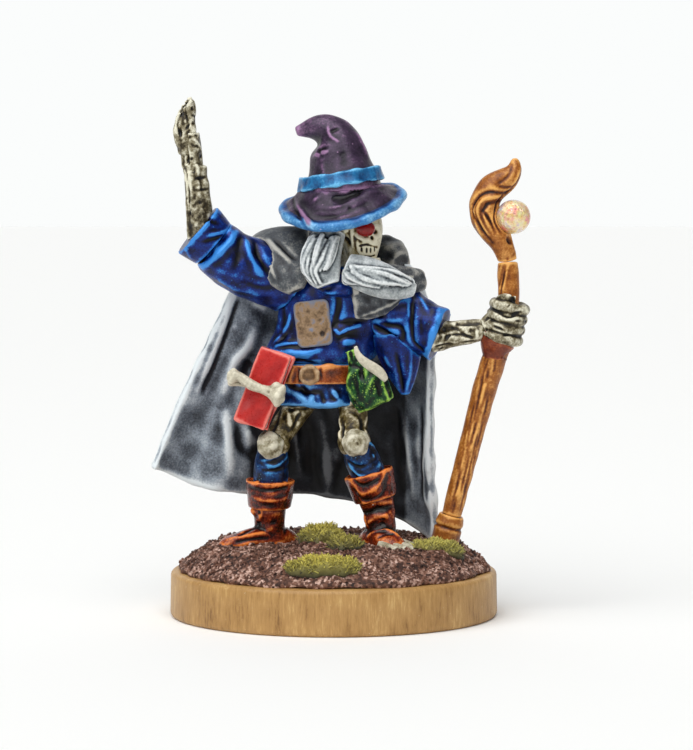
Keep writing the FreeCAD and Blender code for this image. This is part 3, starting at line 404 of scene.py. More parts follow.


# coats: (place on the relief, red, green, blue). Flecks are painted glints, bright dots on raised parts:
# size in mm, share, colour
paintLooks = {
    "blueCloth": {
        "coats": [(0.26, 1, 4, 18), (0.47, 3, 22, 92), (0.64, 8, 52, 150), (0.86, 60, 144, 228)],
        "slot": "blue_cloth_paint", "glintFleck": (0.13, 0.16, 70, 150, 235), "rough": 0.32,
        "coat": 0.128, "metal": 0.25, "speckle": 0.12,
    },
    "skirtBlue": {
        "coats": [(0.26, 3, 8, 28), (0.46, 10, 40, 104), (0.62, 24, 82, 164), (0.84, 96, 168, 232)],
        "slot": "blue_cloth_paint", "glintFleck": (0.16, 0.12, 140, 196, 244), "rough": 0.34,
        "coat": 0.144, "metal": 0.2, "speckle": 0.12,
    },
    "wrapBlue": {
        "coats": [(0.3, 1, 4, 14), (0.52, 4, 28, 70), (0.68, 12, 72, 140), (0.88, 80, 164, 228)],
        "slot": "bright_blue_paint", "glintFleck": (0.14, 0.2, 120, 190, 244), "rough": 0.34,
        "coat": 0.128, "metal": 0.2, "thin": (0.3, 0.4, 0.7, 1.0),
    },
    "thighBone": {
        "coats": [(0.32, 20, 15, 4), (0.48, 70, 56, 22), (0.62, 122, 106, 62), (0.84, 222, 212, 182)],
        "slot": "bone_paint", "rough": 0.4, "coat": 0.096, "blotch": 0.7, "uneven": 0.9,
        "thin": (0.4, 0.55, 0.8, 1.1),
    },
    "handBone": {
        "coats": [(0.3, 24, 18, 8), (0.48, 88, 74, 42), (0.61, 152, 142, 112), (0.81, 226, 222, 200)],
        "slot": "bone_paint", "rough": 0.42, "coat": 0.08, "blotch": 0.5, "uneven": 0.75,
        "thin": (0.25, 0.45, 0.8, 1.1),
    },
    "brightBlue": {
        "coats": [(0.18, 8, 26, 66), (0.4, 24, 96, 164), (0.62, 44, 140, 204), (0.86, 110, 190, 236)],
        "slot": "bright_blue_paint", "rough": 0.34, "coat": 0.128, "metal": 0.1,
    },
    "bone": {
        "coats": [(0.22, 44, 32, 16), (0.4, 104, 88, 56), (0.52, 178, 168, 136), (0.72, 222, 217, 196)],
        "slot": "bone_paint", "rough": 0.45, "coat": 0.064, "blotch": 0.6,
    },
    "paleBone": {
        "coats": [(0.16, 110, 96, 70), (0.36, 190, 180, 150), (0.52, 222, 214, 188), (0.8, 236, 230, 208)],
        "slot": "bone_paint", "rough": 0.5, "coat": 0.048,
    },
    "skullBone": {
        "coats": [(0.24, 28, 16, 4), (0.4, 112, 84, 28), (0.5, 196, 180, 130), (0.68, 232, 226, 200)],
        "slot": "bone_paint", "rough": 0.35, "coat": 0.128, "blotch": 0.5,
    },
    "mantle": {
        "coats": [(0.22, 22, 22, 28), (0.42, 64, 66, 72), (0.6, 94, 99, 104), (0.84, 176, 174, 166)],
        "slot": "grey_cloth_paint", "rough": 0.42, "coat": 0.096, "blotch": 1.2, "uneven": 0.7,
        "speckle": 0.14,
    },
    "boot": {
        "coats": [(0.3, 16, 3, 3), (0.48, 74, 14, 6), (0.63, 154, 50, 14), (0.84, 242, 138, 62)],
        "slot": "leather_boot_paint", "glintFleck": (0.2, 0.06, 230, 220, 210), "rough": 0.26,
        "coat": 0.192,
    },
    "belt": {
        "coats": [(0.2, 48, 14, 6), (0.42, 128, 54, 22), (0.62, 186, 92, 36), (0.86, 230, 150, 80)],
        "slot": "belt_paint", "rough": 0.28, "coat": 0.16,
    },
    "tan": {
        "coats": [(0.2, 78, 54, 34), (0.42, 158, 118, 78), (0.62, 196, 156, 112), (0.86, 222, 196, 160)],
        "slot": "tan_paint", "rough": 0.4, "coat": 0.096,
    },
    "patch": {
        "coats": [(0.2, 60, 44, 34), (0.38, 122, 96, 70), (0.56, 166, 136, 102), (0.76, 132, 136, 152)],
        "slot": "tan_paint", "rough": 0.45, "coat": 0.08, "blotch": 0.7, "uneven": 1.0,
        "thin": (0.6, 0.75, 0.8, 0.8),
    },
    "book": {
        "coats": [(0.2, 70, 6, 8), (0.4, 186, 22, 24), (0.6, 216, 50, 44), (0.84, 240, 130, 118)],
        "slot": "red_book_paint", "rough": 0.3, "coat": 0.16, "grain": 0.12, "uneven": 0.4,
        "glintFleck": (0.3, 0.1, 240, 150, 140), "thin": (0.4, 0.75, 0.85, 1.0),
    },
    "pages": {
        "coats": [(0.2, 60, 62, 70), (0.42, 140, 142, 148), (0.6, 196, 196, 198), (0.84, 226, 224, 220)],
        "slot": "page_paint", "rough": 0.45, "coat": 0.064,
    },
    "pouch": {
        "coats": [(0.3, 3, 9, 6), (0.49, 10, 40, 24), (0.66, 30, 92, 40), (0.88, 150, 196, 80)],
        "slot": "green_pouch_paint", "glintFleck": (0.14, 0.4, 170, 210, 90), "rough": 0.3,
        "coat": 0.144, "metal": 0.3,
    },
    "staff": {
        "coats": [(0.24, 70, 22, 4), (0.43, 146, 74, 20), (0.6, 190, 112, 38), (0.84, 238, 176, 94)],
        "slot": "staff_wood_paint", "rough": 0.4, "coat": 0.096,
    },
    "grip": {
        "coats": [(0.2, 40, 10, 6), (0.42, 104, 36, 18), (0.62, 144, 62, 32), (0.86, 190, 104, 60)],
        "slot": "grip_paint", "rough": 0.35, "coat": 0.128,
    },
    "greyCloth": {
        "coats": [(0.22, 24, 27, 34), (0.4, 72, 78, 86), (0.58, 116, 124, 132), (0.8, 186, 192, 194)],
        # second: darker copies of the coats, painted shade for the cape's inside behind the legs
        "second": [(0.22, 16, 17, 22), (0.46, 36, 39, 46), (0.66, 62, 66, 74), (0.9, 128, 132, 136)],
        "slot": "grey_cloth_paint", "where": "shade", "rough": 0.42, "coat": 0.08, "blotch": 1.4,
        "uneven": 0.5, "speckle": 0.14, "thin": (0.8, 1.5, 1.8, 1.6),
    },
    "hair": {
        "coats": [(0.16, 50, 56, 66), (0.38, 140, 150, 156), (0.54, 196, 204, 206), (0.76, 234, 238, 238)],
        "slot": "hair_paint", "rough": 0.42, "coat": 0.08,
    },
    "hat": {
        "coats": [(0.18, 20, 12, 26), (0.42, 52, 40, 62), (0.64, 84, 64, 92), (0.88, 150, 112, 150)],
        "second": [(0.2, 14, 34, 92), (0.45, 30, 92, 178), (0.7, 70, 150, 220), (0.9, 140, 200, 240)],
        "slot": "purple_hat_paint", "where": "edge", "glintFleck": (0.16, 0.08, 190, 150, 190),
        "rough": 0.36, "coat": 0.112, "metal": 0.15,
    },
    "eye": {
        "coats": [(0.2, 50, 0, 0), (0.45, 130, 4, 4), (0.7, 180, 14, 12), (0.9, 240, 80, 60)],
        "slot": "eye_paint", "rough": 0.2, "coat": 0.224,
    },
}
paints = {name: (figurePaint(name, look), look["slot"]) for name, look in paintLooks.items()}
print("paints mixed")


def pearlPaint():
    # pearl glaze with coarse glitter in it
    paint = Paint("pearl", {"Metallic": 0.25, "Coat Weight": 0.8})
    hue = paint.cells(0.2, "Color")
    tone = paint.ramp(paint.noise(1.1, 2), coats([
        (0.32, 214, 120, 120), (0.45, 236, 196, 140), (0.56, 246, 226, 180), (0.70, 190, 170, 214),
    ]))
    paint.colour(paint.mix(0.28, tone, hue, "OVERLAY"))
    rough = paint.threshold(paint.cells(0.2, "Color"), 0.1, 0.9)
    paint.link(paint.maths("MULTIPLY_ADD", rough, 0.4, 0.12), paint.shader.inputs["Roughness"])
    paint.bump(paint.cells(0.2), 0.05, 0.9)
    return paint.material


def woodPaint():
    # ochre paint over turned wood: fine upright streaks, nicks and pale rubbed flecks
    paint = Paint("basePaint", {"Roughness": 0.55, "Coat Weight": 0.15})
    streak = paint.noise(0.34, 6, 0.75, (1.5, 1.5, 0.2))
    broad = paint.noise(2.4, 3, 0.5, (1, 1, 0.6))
    value = paint.maths("MULTIPLY_ADD", broad, 0.45, paint.maths("MULTIPLY", streak, 0.62))
    colour = paint.ramp(value, coats([
        (0.36, 122, 84, 38), (0.45, 166, 124, 66), (0.58, 186, 144, 84), (0.70, 214, 178, 116),
    ]))
    flecks = paint.threshold(paint.noise(0.42, 5, 0.75, (1, 1, 0.7)), 0.66, 0.72)
    colour = paint.mix(flecks, colour, tint(226, 204, 160))
    stains = paint.threshold(paint.noise(0.9, 5, 0.7, (1, 1, 0.6)), 0.68, 0.76)
    paint.colour(paint.mix(paint.maths("MULTIPLY", stains, 0.6), colour, tint(110, 74, 40)))
    paint.bump(paint.maths("ADD", streak, flecks), 0.06, 0.7)
    return paint.material


def gritPaint():
    paint = Paint("gritPaint", {"Roughness": 0.75})
    tone = paint.maths("MULTIPLY", paint.cells(0.19, "Color"), 0.4)
    value = paint.maths("MULTIPLY_ADD", paint.noise(0.9, 5), 0.66, tone)
    paint.colour(paint.ramp(value, coats([
        (0.30, 22, 11, 8), (0.44, 70, 40, 28), (0.58, 122, 82, 64), (0.74, 214, 180, 164),
    ])))
    paint.bump(paint.noise(0.12), 0.05, 0.9)
    return paint.material


def grassPaint(name, dark, light):
    paint = Paint(name, {"Roughness": 0.65, "Sheen Weight": 0.2})
    paint.colour(paint.ramp(paint.field("shade"), [(0.0, tint(*dark)), (1.0, tint(*light))]))
    return paint.material


def aim(name, source, at, way):
    holder = bpy.data.objects.new(name, source)
    holder.location = at
    holder.rotation_euler = way.to_track_quat("-Z", "Y").to_euler()
    sceneRoot.objects.link(holder)


def makeStage():
    sheet = blank()
    bmesh.ops.create_grid(sheet, x_segments=2, y_segments=2, size=3)
    floor = settle(sheet, "floor")
    paint = Paint("floorPaint", {
        "Base Color": (0.95, 0.955, 0.94, 1), "Roughness": 0.9, "Specular IOR Level": 0.1,
    })
    floor.data.materials.append(paint.material)

    # a white backdrop behind the figure and a dimmer room round the rest of it
    world = bpy.data.worlds.new("tent")
    world.use_nodes = True
    tree = world.node_tree
    way = tree.nodes.new("ShaderNodeTexCoord")
    split = tree.nodes.new("ShaderNodeSeparateXYZ")
    room = tree.nodes.new("ShaderNodeValToRGB")
    shades = ((0.45, (0.17, 0.17, 0.175, 1)), (0.9, (0.965, 0.98, 0.975, 1)))
    for element, (place, colour) in zip(room.color_ramp.elements, shades):
        element.position = place
        element.color = colour
    tree.links.new(way.outputs["Generated"], split.inputs["Vector"])
    tree.links.new(split.outputs["Y"], room.inputs["Fac"])
    tree.links.new(room.outputs["Color"], tree.nodes["Background"].inputs["Color"])
    bpy.context.scene.world = world

    overhead = bpy.data.lights.new("overhead", "SUN")
    overhead.energy = 2.8
    overhead.angle = 1.3
    aim("overhead", overhead, (0, 0, 0), Vector((0.25, 0.6, -1)))

    # place, size, power and colour of each soft light, all aimed at the figure's chest
    softboxes = {
        "topLight": ((-0.06, -0.10, 0.30), 0.045, 0.035, (1, 0.99, 0.97)),
        "leftLight": ((-0.30, -0.16, 0.16), 0.05, 0.035, (1, 0.99, 0.98)),
        "rightLight": ((0.30, -0.18, 0.18), 0.05, 0.025, (0.99, 0.99, 1)),
    }
    for name, (at, wide, power, colour) in softboxes.items():
        lamp = bpy.data.lights.new(name, "AREA")
        lamp.size = wide
        lamp.energy = power
        lamp.color = colour
        aim(name, lamp, at, Vector((0, 0, 0.02)) - Vector(at))


def makeCamera():
    lens = bpy.data.cameras.new("camera")
    lens.lens = 138.8
    lens.clip_start = 0.01
    camera = bpy.data.objects.new("camera", lens)
    camera.location = (0.000973, -0.22, 0.03175)
    camera.rotation_euler = (math.radians(90 - 3.5), 0, 0)
    sceneRoot.objects.link(camera)
    bpy.context.scene.camera = camera
    bpy.context.scene.view_settings.view_transform = "Standard"


makeStage()
makeCamera()
print("stage set")


def skin(piece):
    return BVHTree.FromObject(piece, bpy.context.evaluated_depsgraph_get())


def touch(tree, x, z, side="front"):
    # where a tool held level, coming from that side, first meets the piece
    back = 1 if side == "front" else -1
    hit = tree.ray_cast(Vector((x, -40 * back, z)), Vector((0, back, 0)))[0]
    if hit is None:
        hit = tree.find_nearest(Vector((x, -3 * back, z)))[0]
    return hit


def draw(piece, corner, strokes, side="front"):
    # a stroke is the width and height of its mark, then across and up for each of its points,
    # in millimetres from the low corner of the part that the piece stands for
    tree = skin(piece)
    low, _ = nodeBox(corner)
    marks = []
    for width, height, *line in strokes:
        places = zip(line[::2], line[1::2])
        met = [touch(tree, low.x + x, low.z + z, side) for x, z in places]
        marks.append((met, width * 1.25, height * 1.15))
    form = Form(piece)
    form.strokes(marks)
    form.soften(2)


def tilt(piece, rise):
    # lifts the figure's left side of the hat and lowers the other
    form = Form(piece)
    low, high = nodeBox("hat_band")
    share = (form.at[:, 0] - low.x) / (high.x - low.x) - 0.4
    form.at[:, 2] += rise * share * np.clip(1.6 - (form.at[:, 2] - low.z) / 3, 0, 1)
    form.write()


def sculpt(name, part, voxel, soften):
    return bake(addNode(blank(), part), name, voxel, soften)


def shape(name, look):
    # a piece from its card: ropes over the lump of its part, then strokes and an uneven skin
    part = look["part"]
    clay = addNode(blank(), part)
    low, high = nodeBox(part)
    depth = (low.y + high.y) / 2 - 0.1
    for line, widths in look.get("ropes", ()):
        addRope(clay, [(low.x + x, depth, low.z + z) for x, z in line], widths)
    piece = bake(clay, name, look.get("voxel", 0.09), look.get("soften", 3))
    if "strokes" in look:
        draw(piece, part, look["strokes"])
    if "behind" in look:
        draw(piece, part, look["behind"], "back")
    if "ripple" in look:        # size, height and seed
        Form(piece).ripple(*look["ripple"])
    if "tilt" in look:
        tilt(piece, look["tilt"])
    return piece


def make(looks):
    for name, look in looks.items():
        finish(shape(name, look), paints[look["paint"]], look["part"])


woodDisc = {"edge": 0.35, "taper": 0.995, "segments": 160}


def makeDisc():
    low, high = nodeBox("base_disc")
    clay = blank()
    radius, tall = (high.x - low.x) / 2, high.z - low.z
    bmesh.ops.create_cone(clay, cap_ends=True, segments=woodDisc["segments"], radius1=radius,
                          radius2=radius * woodDisc["taper"], depth=tall,
                          matrix=Matrix.Translation((0, 0, low.z + tall / 2)))
    rims = [e for e in clay.edges if abs(e.verts[0].co.z - e.verts[1].co.z) < 0.01]
    bmesh.ops.bevel(clay, geom=rims, offset=woodDisc["edge"], offset_type="OFFSET",
                    affect="EDGES", segments=4, profile=0.5, material=-1)
    finish(settle(clay, "woodDisc"), (woodPaint(), "wood_base"), "base_disc")


grit = {"small": 0.12, "large": 0.5, "count": 4200}


def makeGround():
    dice = random.Random(7)
    mound = sculpt("earthMound", "earth_cover", 0.15, 2)
    Form(mound).ripple(2.6, 0.12, 3)
    tree = skin(mound)

    # everything that stands in the ground, so that no grit is laid inside it
    clay = blank()
    for name in ("right_boot", "left_boot", "left_toe_bones", "staff_ferrule", "cape"):
        addNode(clay, name)
    standing = bake(clay, "standing", 0.3, 0)
    blocked = skin(standing)
    bpy.data.objects.remove(standing)

    high = nodeBox("earth_cover")[1]
    grains = blank()
    for _ in range(grit["count"]):
        angle = dice.uniform(0, 2 * math.pi)
        far = (high.x - 0.1) * math.sqrt(dice.uniform(0, 1))
        x, y = far * math.cos(angle), far * math.sin(angle)
        hit = tree.ray_cast(Vector((x, y, 20)), Vector((0, 0, -1)))[0]
        above = blocked.ray_cast(Vector((x, y, high.z + 0.7)), Vector((0, 0, -1)))[0]
        if hit is None or (above is not None and above.z > hit.z + 0.15):
            continue
        wide = grit["small"] + (grit["large"] - grit["small"]) * dice.random() ** 2.6
        turn = [dice.uniform(0, 6.3) for _ in range(3)]
        size = (wide, wide * dice.uniform(0.6, 1), wide * dice.uniform(0.5, 0.9))
        addBall(grains, hit + Vector((0, 0, wide * 0.12)), size, turn, fine=1)
    paint = gritPaint()
    hand(settle(grains, "grit"), (paint, "earth"))
    finish(mound, (paint, "earth"), "earth_cover")
    stand = nodes["cast_stand"]
    stand.data.materials.clear()
    stand.data.materials.append(paint)


# colour at the roots, dark as painted shade down among the blades, colour at the tips and number of blades
grass = {
    "grass_centre": ((12, 12, 2), (226, 212, 96), 2600),
    "grass_front": ((20, 20, 2), (236, 222, 100), 1400),
    "grass_staff": ((12, 14, 4), (220, 210, 104), 1200),
}


def makeGrass():
    for number, (part, (dark, light, count)) in enumerate(grass.items()):
        name = part.replace("grass_", "tuft")
        dice = random.Random(20 + number)
        clump = sculpt(name + "Bed", part, 0.14, 2)
        Form(clump).ripple(1.1, 0.12, number)
        tree = skin(clump)
        low, high = nodeBox(part)
        blades = blank()
        for _ in range(count):
            x, y = dice.uniform(low.x, high.x), dice.uniform(low.y, high.y)
            hit, normal, _, _ = tree.ray_cast(Vector((x, y, 20)), Vector((0, 0, -1)))
            if hit is None:
                continue
            lean = Vector((dice.gauss(0, 0.8), dice.gauss(0, 0.8), 0.4))
            way = (normal * 0.8 + lean).normalized()
            tall = dice.uniform(0.16, 0.46)
            turn = way.to_track_quat("Z", "Y").to_matrix().to_4x4()
            bmesh.ops.create_cone(blades, cap_ends=True, segments=3, radius1=0.06, radius2=0.025,
                                  depth=tall, matrix=Matrix.Translation(hit + way * tall * 0.35) @ turn)
        tuft = settle(blades, name + "Blades")
        rise = high.z + 0.3 - low.z
        # painted shade: blades darken towards their roots and the bed towards its foot, with a random tone
        # per blade
        shade = []
        for vertex in tuft.data.vertices:
            up = (vertex.co.z - low.z) / rise
            own = random.Random(vertex.index // 6 + number).uniform(-0.2, 0.35)
            shade.append(min(1, max(0, up * 0.75 + own)))
        keepValue(tuft, "shade", np.array(shade))
        keepValue(clump, "shade", np.clip((Form(clump).at[:, 2] - low.z) / rise * 0.5, 0, 1))
        coat = (grassPaint(part, dark, light), "grass")
        hand(tuft, coat)
        hand(clump, coat, part)


makeDisc()
makeGround()
makeGrass()
print("ground laid")


# a card for each piece; ropes and strokes are in millimetres from the low corner of its part
clothes = {
    "tunicBody": {
        "part": "tunic_body", "voxel": 0.11, "ripple": (1.4, 0.03, 1), "paint": "blueCloth",
        "strokes": [
            (0.2, -0.2, 5.5, 5.5, 5.6, 4.3, 5.2, 2.6), (0.11, 0.14, 0.8, 1.3, 1.7, 1.5, 2.7, 1.6),
            (0.3, 0.24, 0.6, 0.9, 2.1, 0.7, 3.9, 0.8), (0.18, -0.2, 0.8, 0.2, 2.3, -0.2, 3.7, 0.1),
            (0.3, -0.3, 1.3, 2.1), (0.1, 0.2, 5.2, 2.7, 5.6, 2.3, 6.2, 2.6, 7.2, 2.9),
            (0.2, -0.16, 5.5, 3.1, 6.2, 3.2, 7.6, 3.3), (0.14, 0.14, 0.8, 3.9, 0.6, 3.2, 0.7, 1.6),
            (0.25, -0.12, 1.3, 4.7, 1.4, 3.4, 1.2, 2.6), (0.12, 0.1, 1.8, 1, 2.9, 0.8, 4.3, 1.1),
            (0.2, 0.2, 5.8, 1.6, 6.9, 1.7), (0.12, 0.1, 2.9, -0.3, 4.1, -0.3),
        ],
    },
    "tunicSkirt": {
        "part": "tunic_skirt", "voxel": 0.1, "paint": "skirtBlue",
        "strokes": [
            (0.26, 0.18, 1.8, 1.1, 2.9, 0.3, 4, 0, 5.1, 0.1, 5.5, 0.6),
            (0.18, 0.14, 3.2, 1, 3.3, 0.2), (0.2, -0.2, 2.4, 1.6, 2.8, 1),
            (0.16, 0.2, 4.8, 1.2, 5.2, 0.6), (0.2, -0.2, 1.5, 1.6, 2.7, 1.1, 4, 1.1),
            (0.16, -0.14, 4, 1, 4.2, 0.2), (0.14, 0.12, 1.2, 1.8, 1.5, 1),
        ],
    },
    "cowl": {
        "part": "tunic_collar", "voxel": 0.1, "soften": 2, "paint": "blueCloth",
        "strokes": [
            (0.12, 0.14, -0.2, 1.2, -0.1, 0.6, 0.3, 0.4),
            (0.12, 0.16, 0.5, -0.3, 1.3, 0.1, 2.1, 0.4),
            (0.24, -0.25, -0.6, 0.6, 0.5, 0.1, 1.7, 0.8), (0.12, 0.1, -1.1, 0.4, -0.6, -0.2),
        ],
    },
    "chestPatch": {
        "part": "chest_patch", "voxel": 0.07, "ripple": (0.9, 0.01, 4), "paint": "patch",
        "strokes": [
            (0.14, -0.16, 2.2, 1.1), (0.14, -0.07, 2, 2.1), (0.14, 0.05, 0.1, 2.7, 0, 1.9),
            (0.12, 0.06, 1.8, 0.4, 2.5, 0.7, 2.7, 1.5), (0.14, -0.05, 1.1, 2.7),
            (0.18, 0.05, 0.9, 1.5, 1.6, 1.3),
        ],
    },
    "beltStrap": {
        "part": "belt", "voxel": 0.08, "soften": 2, "paint": "belt",
        "strokes": [
            (0.28, 0.2, 4.3, 1.1, 4.9, 1.4, 5.5, 1.6), (0.12, 0.16, 2.2, 1.2, 1.9, 0.1),
            (0.08, -0.12, 2.6, 1.2, 2.5, 0), (0.08, -0.1, 4.2, 1.4, 4.3, 0.4),
            (0.08, 0.06, 2.8, 1.2, 4.2, 1.4), (0.08, 0.06, 2.8, 0, 4.2, 0.1),
        ],
    },
    "buckle": {
        "part": "belt_buckle", "voxel": 0.07, "soften": 2, "ripple": (0.5, 0.025, 6), "paint": "tan",
    },
    "rightSleeve": {
        "part": "right_sleeve", "voxel": 0.11, "ripple": (1.3, 0.03, 2), "paint": "blueCloth",
        "strokes": [
            (0.26, 0.3, 3.2, 6.2, 2.5, 5.2, 1.5, 4.2, 0.6, 3.5),
            (0.22, -0.26, 2.5, 6, 1.7, 5.1, 0.8, 4.1, 0.1, 3.8),
            (0.2, 0.28, 3.7, 5.6, 4.1, 4.4, 4.7, 3.3, 5.1, 2.8),
            (0.22, -0.2, 4.4, 5.4, 4.9, 4.1, 5.6, 3), (0.3, -0.18, 3.3, 5.4, 3.2, 4.1, 2.8, 3.3),
            (0.2, 0.1, 1.7, 2.6, 2.8, 1.9, 5.1, 1.3), (0.2, -0.14, 3.8, 2.2, 4.8, 1.9, 5.9, 1.9),
            (0.25, 0.08, 1.6, 3.3, 2.5, 3, 3.8, 2.6),
        ],
        "behind": [
            (0.3, 0.25, 1.5, 5.5, 2.5, 4.2), (0.3, 0.22, 3.5, 5, 4.2, 3),
            (0.3, -0.2, 2.6, 5.2, 3.4, 3),
        ],
    },
    "rightCuff": {
        "part": "right_sleeve_cuff", "voxel": 0.1, "soften": 2, "paint": "blueCloth",
        "strokes": [
            (0.16, 0.12, 0.9, 3.5, 1.7, 3.8, 3.3, 3.9), (0.2, -0.18, 1.5, 2.9, 2.6, 3.3, 3.1, 3.1),
            (0.15, 0.12, -0.2, 2.2, 0.6, 3, 0.9, 3.5), (0.12, 0.16, 2.4, 2.2, 3.1, 2.3, 3.7, 2.5),
            (0.14, -0.12, 2, 1.7, 2.8, 1.9, 3.5, 2.2), (0.14, 0.1, -0.3, 1.7, 0.2, 1.3, 1.1, 0.4),
        ],
    },
    "leftSleeve": {
        "part": "left_sleeve", "voxel": 0.11, "ripple": (1.3, 0.03, 5), "paint": "blueCloth",
        "strokes": [
            (0.2, 0.16, -0.3, 3.6, 1.1, 4.1, 2.4, 4.5, 3.1, 4.6),
            (0.2, -0.24, -1.7, 2.9, -0.3, 3.2, 1.1, 3.4),
            (0.14, 0.22, 0.3, 2.5, 1, 1.8, 2.4, 1.5, 3.1, 1),
            (0.18, -0.26, 1, 2.8, 2.4, 2.5, 2.6, 1.8), (0.25, -0.28, -0.8, 2, 0.5, 1.4, 1.6, 0.6),
            (0.14, -0.22, 3.4, 5, 3.2, 3.3, 3.4, 1.4, 3.8, 0.1),
            (0.22, 0.24, 5.3, 3.9, 4.9, 2.2, 4.3, 0.5), (0.14, -0.1, 3.9, 3.3, 4, 1.9),
            (0.09, 0.16, 3, 4.4, 3.1, 3.3), (0.16, 0.14, 1.5, 3, 2.6, 3.2),
            (0.14, 0.12, 3.8, 4.9, 4.5, 3.7),
        ],
    },
    "leftDrape": {
        "part": "left_sleeve_drape", "voxel": 0.1, "paint": "blueCloth",
        "strokes": [
            (0.16, -0.2, 1.8, 3.1, 2.1, 1.6, 2.3, 0.4), (0.14, 0.14, 2.9, 3.3, 2.8, 1.6, 2.5, 0.4),
            (0.14, 0.14, 0.9, 3.1, 1.4, 2.1),
        ],
    },
}
make(clothes)
print("clothes done")


cape = {
    "part": "cape", "voxel": 0.13, "ripple": (2.6, 0.05, 8),
    "strokes": [
        (0.42, 0.34, 8, 16.5, 7.4, 15, 6.4, 13.7, 5.9, 12.4, 5.4, 11.1),
        (0.5, -0.16, 6.8, 18.1, 6.5, 16.2, 5.7, 14.4, 4.8, 12.1), (0.4, -0.2, 7.6, 13.9, 7, 12.1),
        (0.2, 0.12, 6.4, 18.8, 5.7, 16.6, 4.6, 13.9, 3.6, 11.6),
        (0.14, -0.14, 6.7, 18.4, 6.1, 16.6, 5.1, 13.9, 4, 11.5), (0.3, 0.16, 7.8, 18.4, 8.9, 17.8),
        (0.14, 0.06, 6.5, 16.6, 6.6, 16.3), (0.5, -0.22, 12, 9.5, 12.3, 7, 12.5, 4.5),
        (0.36, 0.22, 13.1, 9.2, 13.5, 6.3, 13.6, 3.9), (0.3, 0.16, 11, 9.5, 11.1, 7, 11.4, 4.8),
        (0.36, 0.24, 19.3, 10.2, 19.9, 7, 20.3, 3.3), (0.24, -0.18, 20.8, 10.2, 20.8, 7, 20.9, 3.3),
        (0.14, 0.12, 21.3, 11.4, 21.3, 8.3, 21, 5.8, 21, 3.8, 21.4, 2.5),
        (0.3, 0.16, 14.3, 7, 14.3, 5.5), (0.4, -0.2, 6.3, 9.5, 6.9, 7.3, 7.9, 6.3),
        (0.3, -0.16, 18.8, 8, 19.1, 5.3, 19.4, 3.3), (0.4, 0.2, 5.8, 10.2, 6, 8, 6, 5.3),
        (0.3, 0.14, 7.4, 8.5, 8, 7.3),
    ],
}
# share of the width, width and height of each fold down the back
backFolds = (
    (0.12, 0.5, 0.3), (0.24, 0.5, -0.25), (0.36, 0.55, 0.32), (0.48, 0.5, -0.25), (0.6, 0.5, 0.3),
    (0.72, 0.45, -0.22), (0.84, 0.45, 0.26),
)


def makeCape():
    low, high = nodeBox("cape")
    across, tall = high.x - low.x, high.z - low.z
    folds = []
    for share, wide, height in backFolds:
        foot, top = share * across, (0.225 + 0.75 * share) * across
        line = (top, tall * 0.85, (top + foot) / 2, tall * 0.5, foot, tall * 0.12)
        folds.append((wide, height, *line))
    sheet = shape("cape", cape | {"behind": folds})
    form = Form(sheet)
    x, _, z = form.at.T
    # painted shade: the cape's forward-facing inside behind the legs is marked for the darker second coats
    behindLegs = (x > -6.5) & (x < 5.6) & (z < 19) & (form.normals()[:, 1] < 0.1)
    shade = blur(behindLegs.astype(float), form.edges, 60)
    finish(sheet, paints["greyCloth"], "cape", extra={"shade": shade})


mantles = {
    "rightMantle": {
        "part": "mantle_right", "voxel": 0.1, "paint": "mantle",
        "strokes": [
            (0.12, 0.12, 0.7, 4.2, 1, 2.7, 2.2, 1.2), (0.18, 0.14, 1.5, 4.2, 2.2, 3.4, 3.3, 2.4),
            (0.14, -0.14, 2.2, 4, 3.1, 3.1, 3.6, 2.7), (0.3, 0.06, 2.6, 2.3, 3, 1.2),
        ],
    },
    "leftMantle": {
        "part": "mantle_left", "voxel": 0.1, "ripple": (0.8, 0.03, 9), "paint": "mantle",
        "strokes": [
            (0.12, 0.12, -0.3, 1.7, -0.2, 0.6, 0.6, 0.2),
            (0.12, 0.12, 0.6, 0.2, 1.8, 0.6, 3.4, 1.3, 4.7, 1.7), (0.14, 0.12, 0.7, 2.1),
            (0.1, -0.1, 0.8, 2.1, 1.2, 2.3), (0.12, 0.12, 4.1, 3.1, 5, 3.2),
            (0.14, -0.08, 2, 1.9, 2.8, 2.1), (0.12, -0.12, 3.9, 2.7, 4.4, 2.1),
        ],
    },
    "hood": {"part": "hood", "voxel": 0.11, "ripple": (1.6, 0.1, 12), "paint": "mantle"},
}
makeCape()
make(mantles)


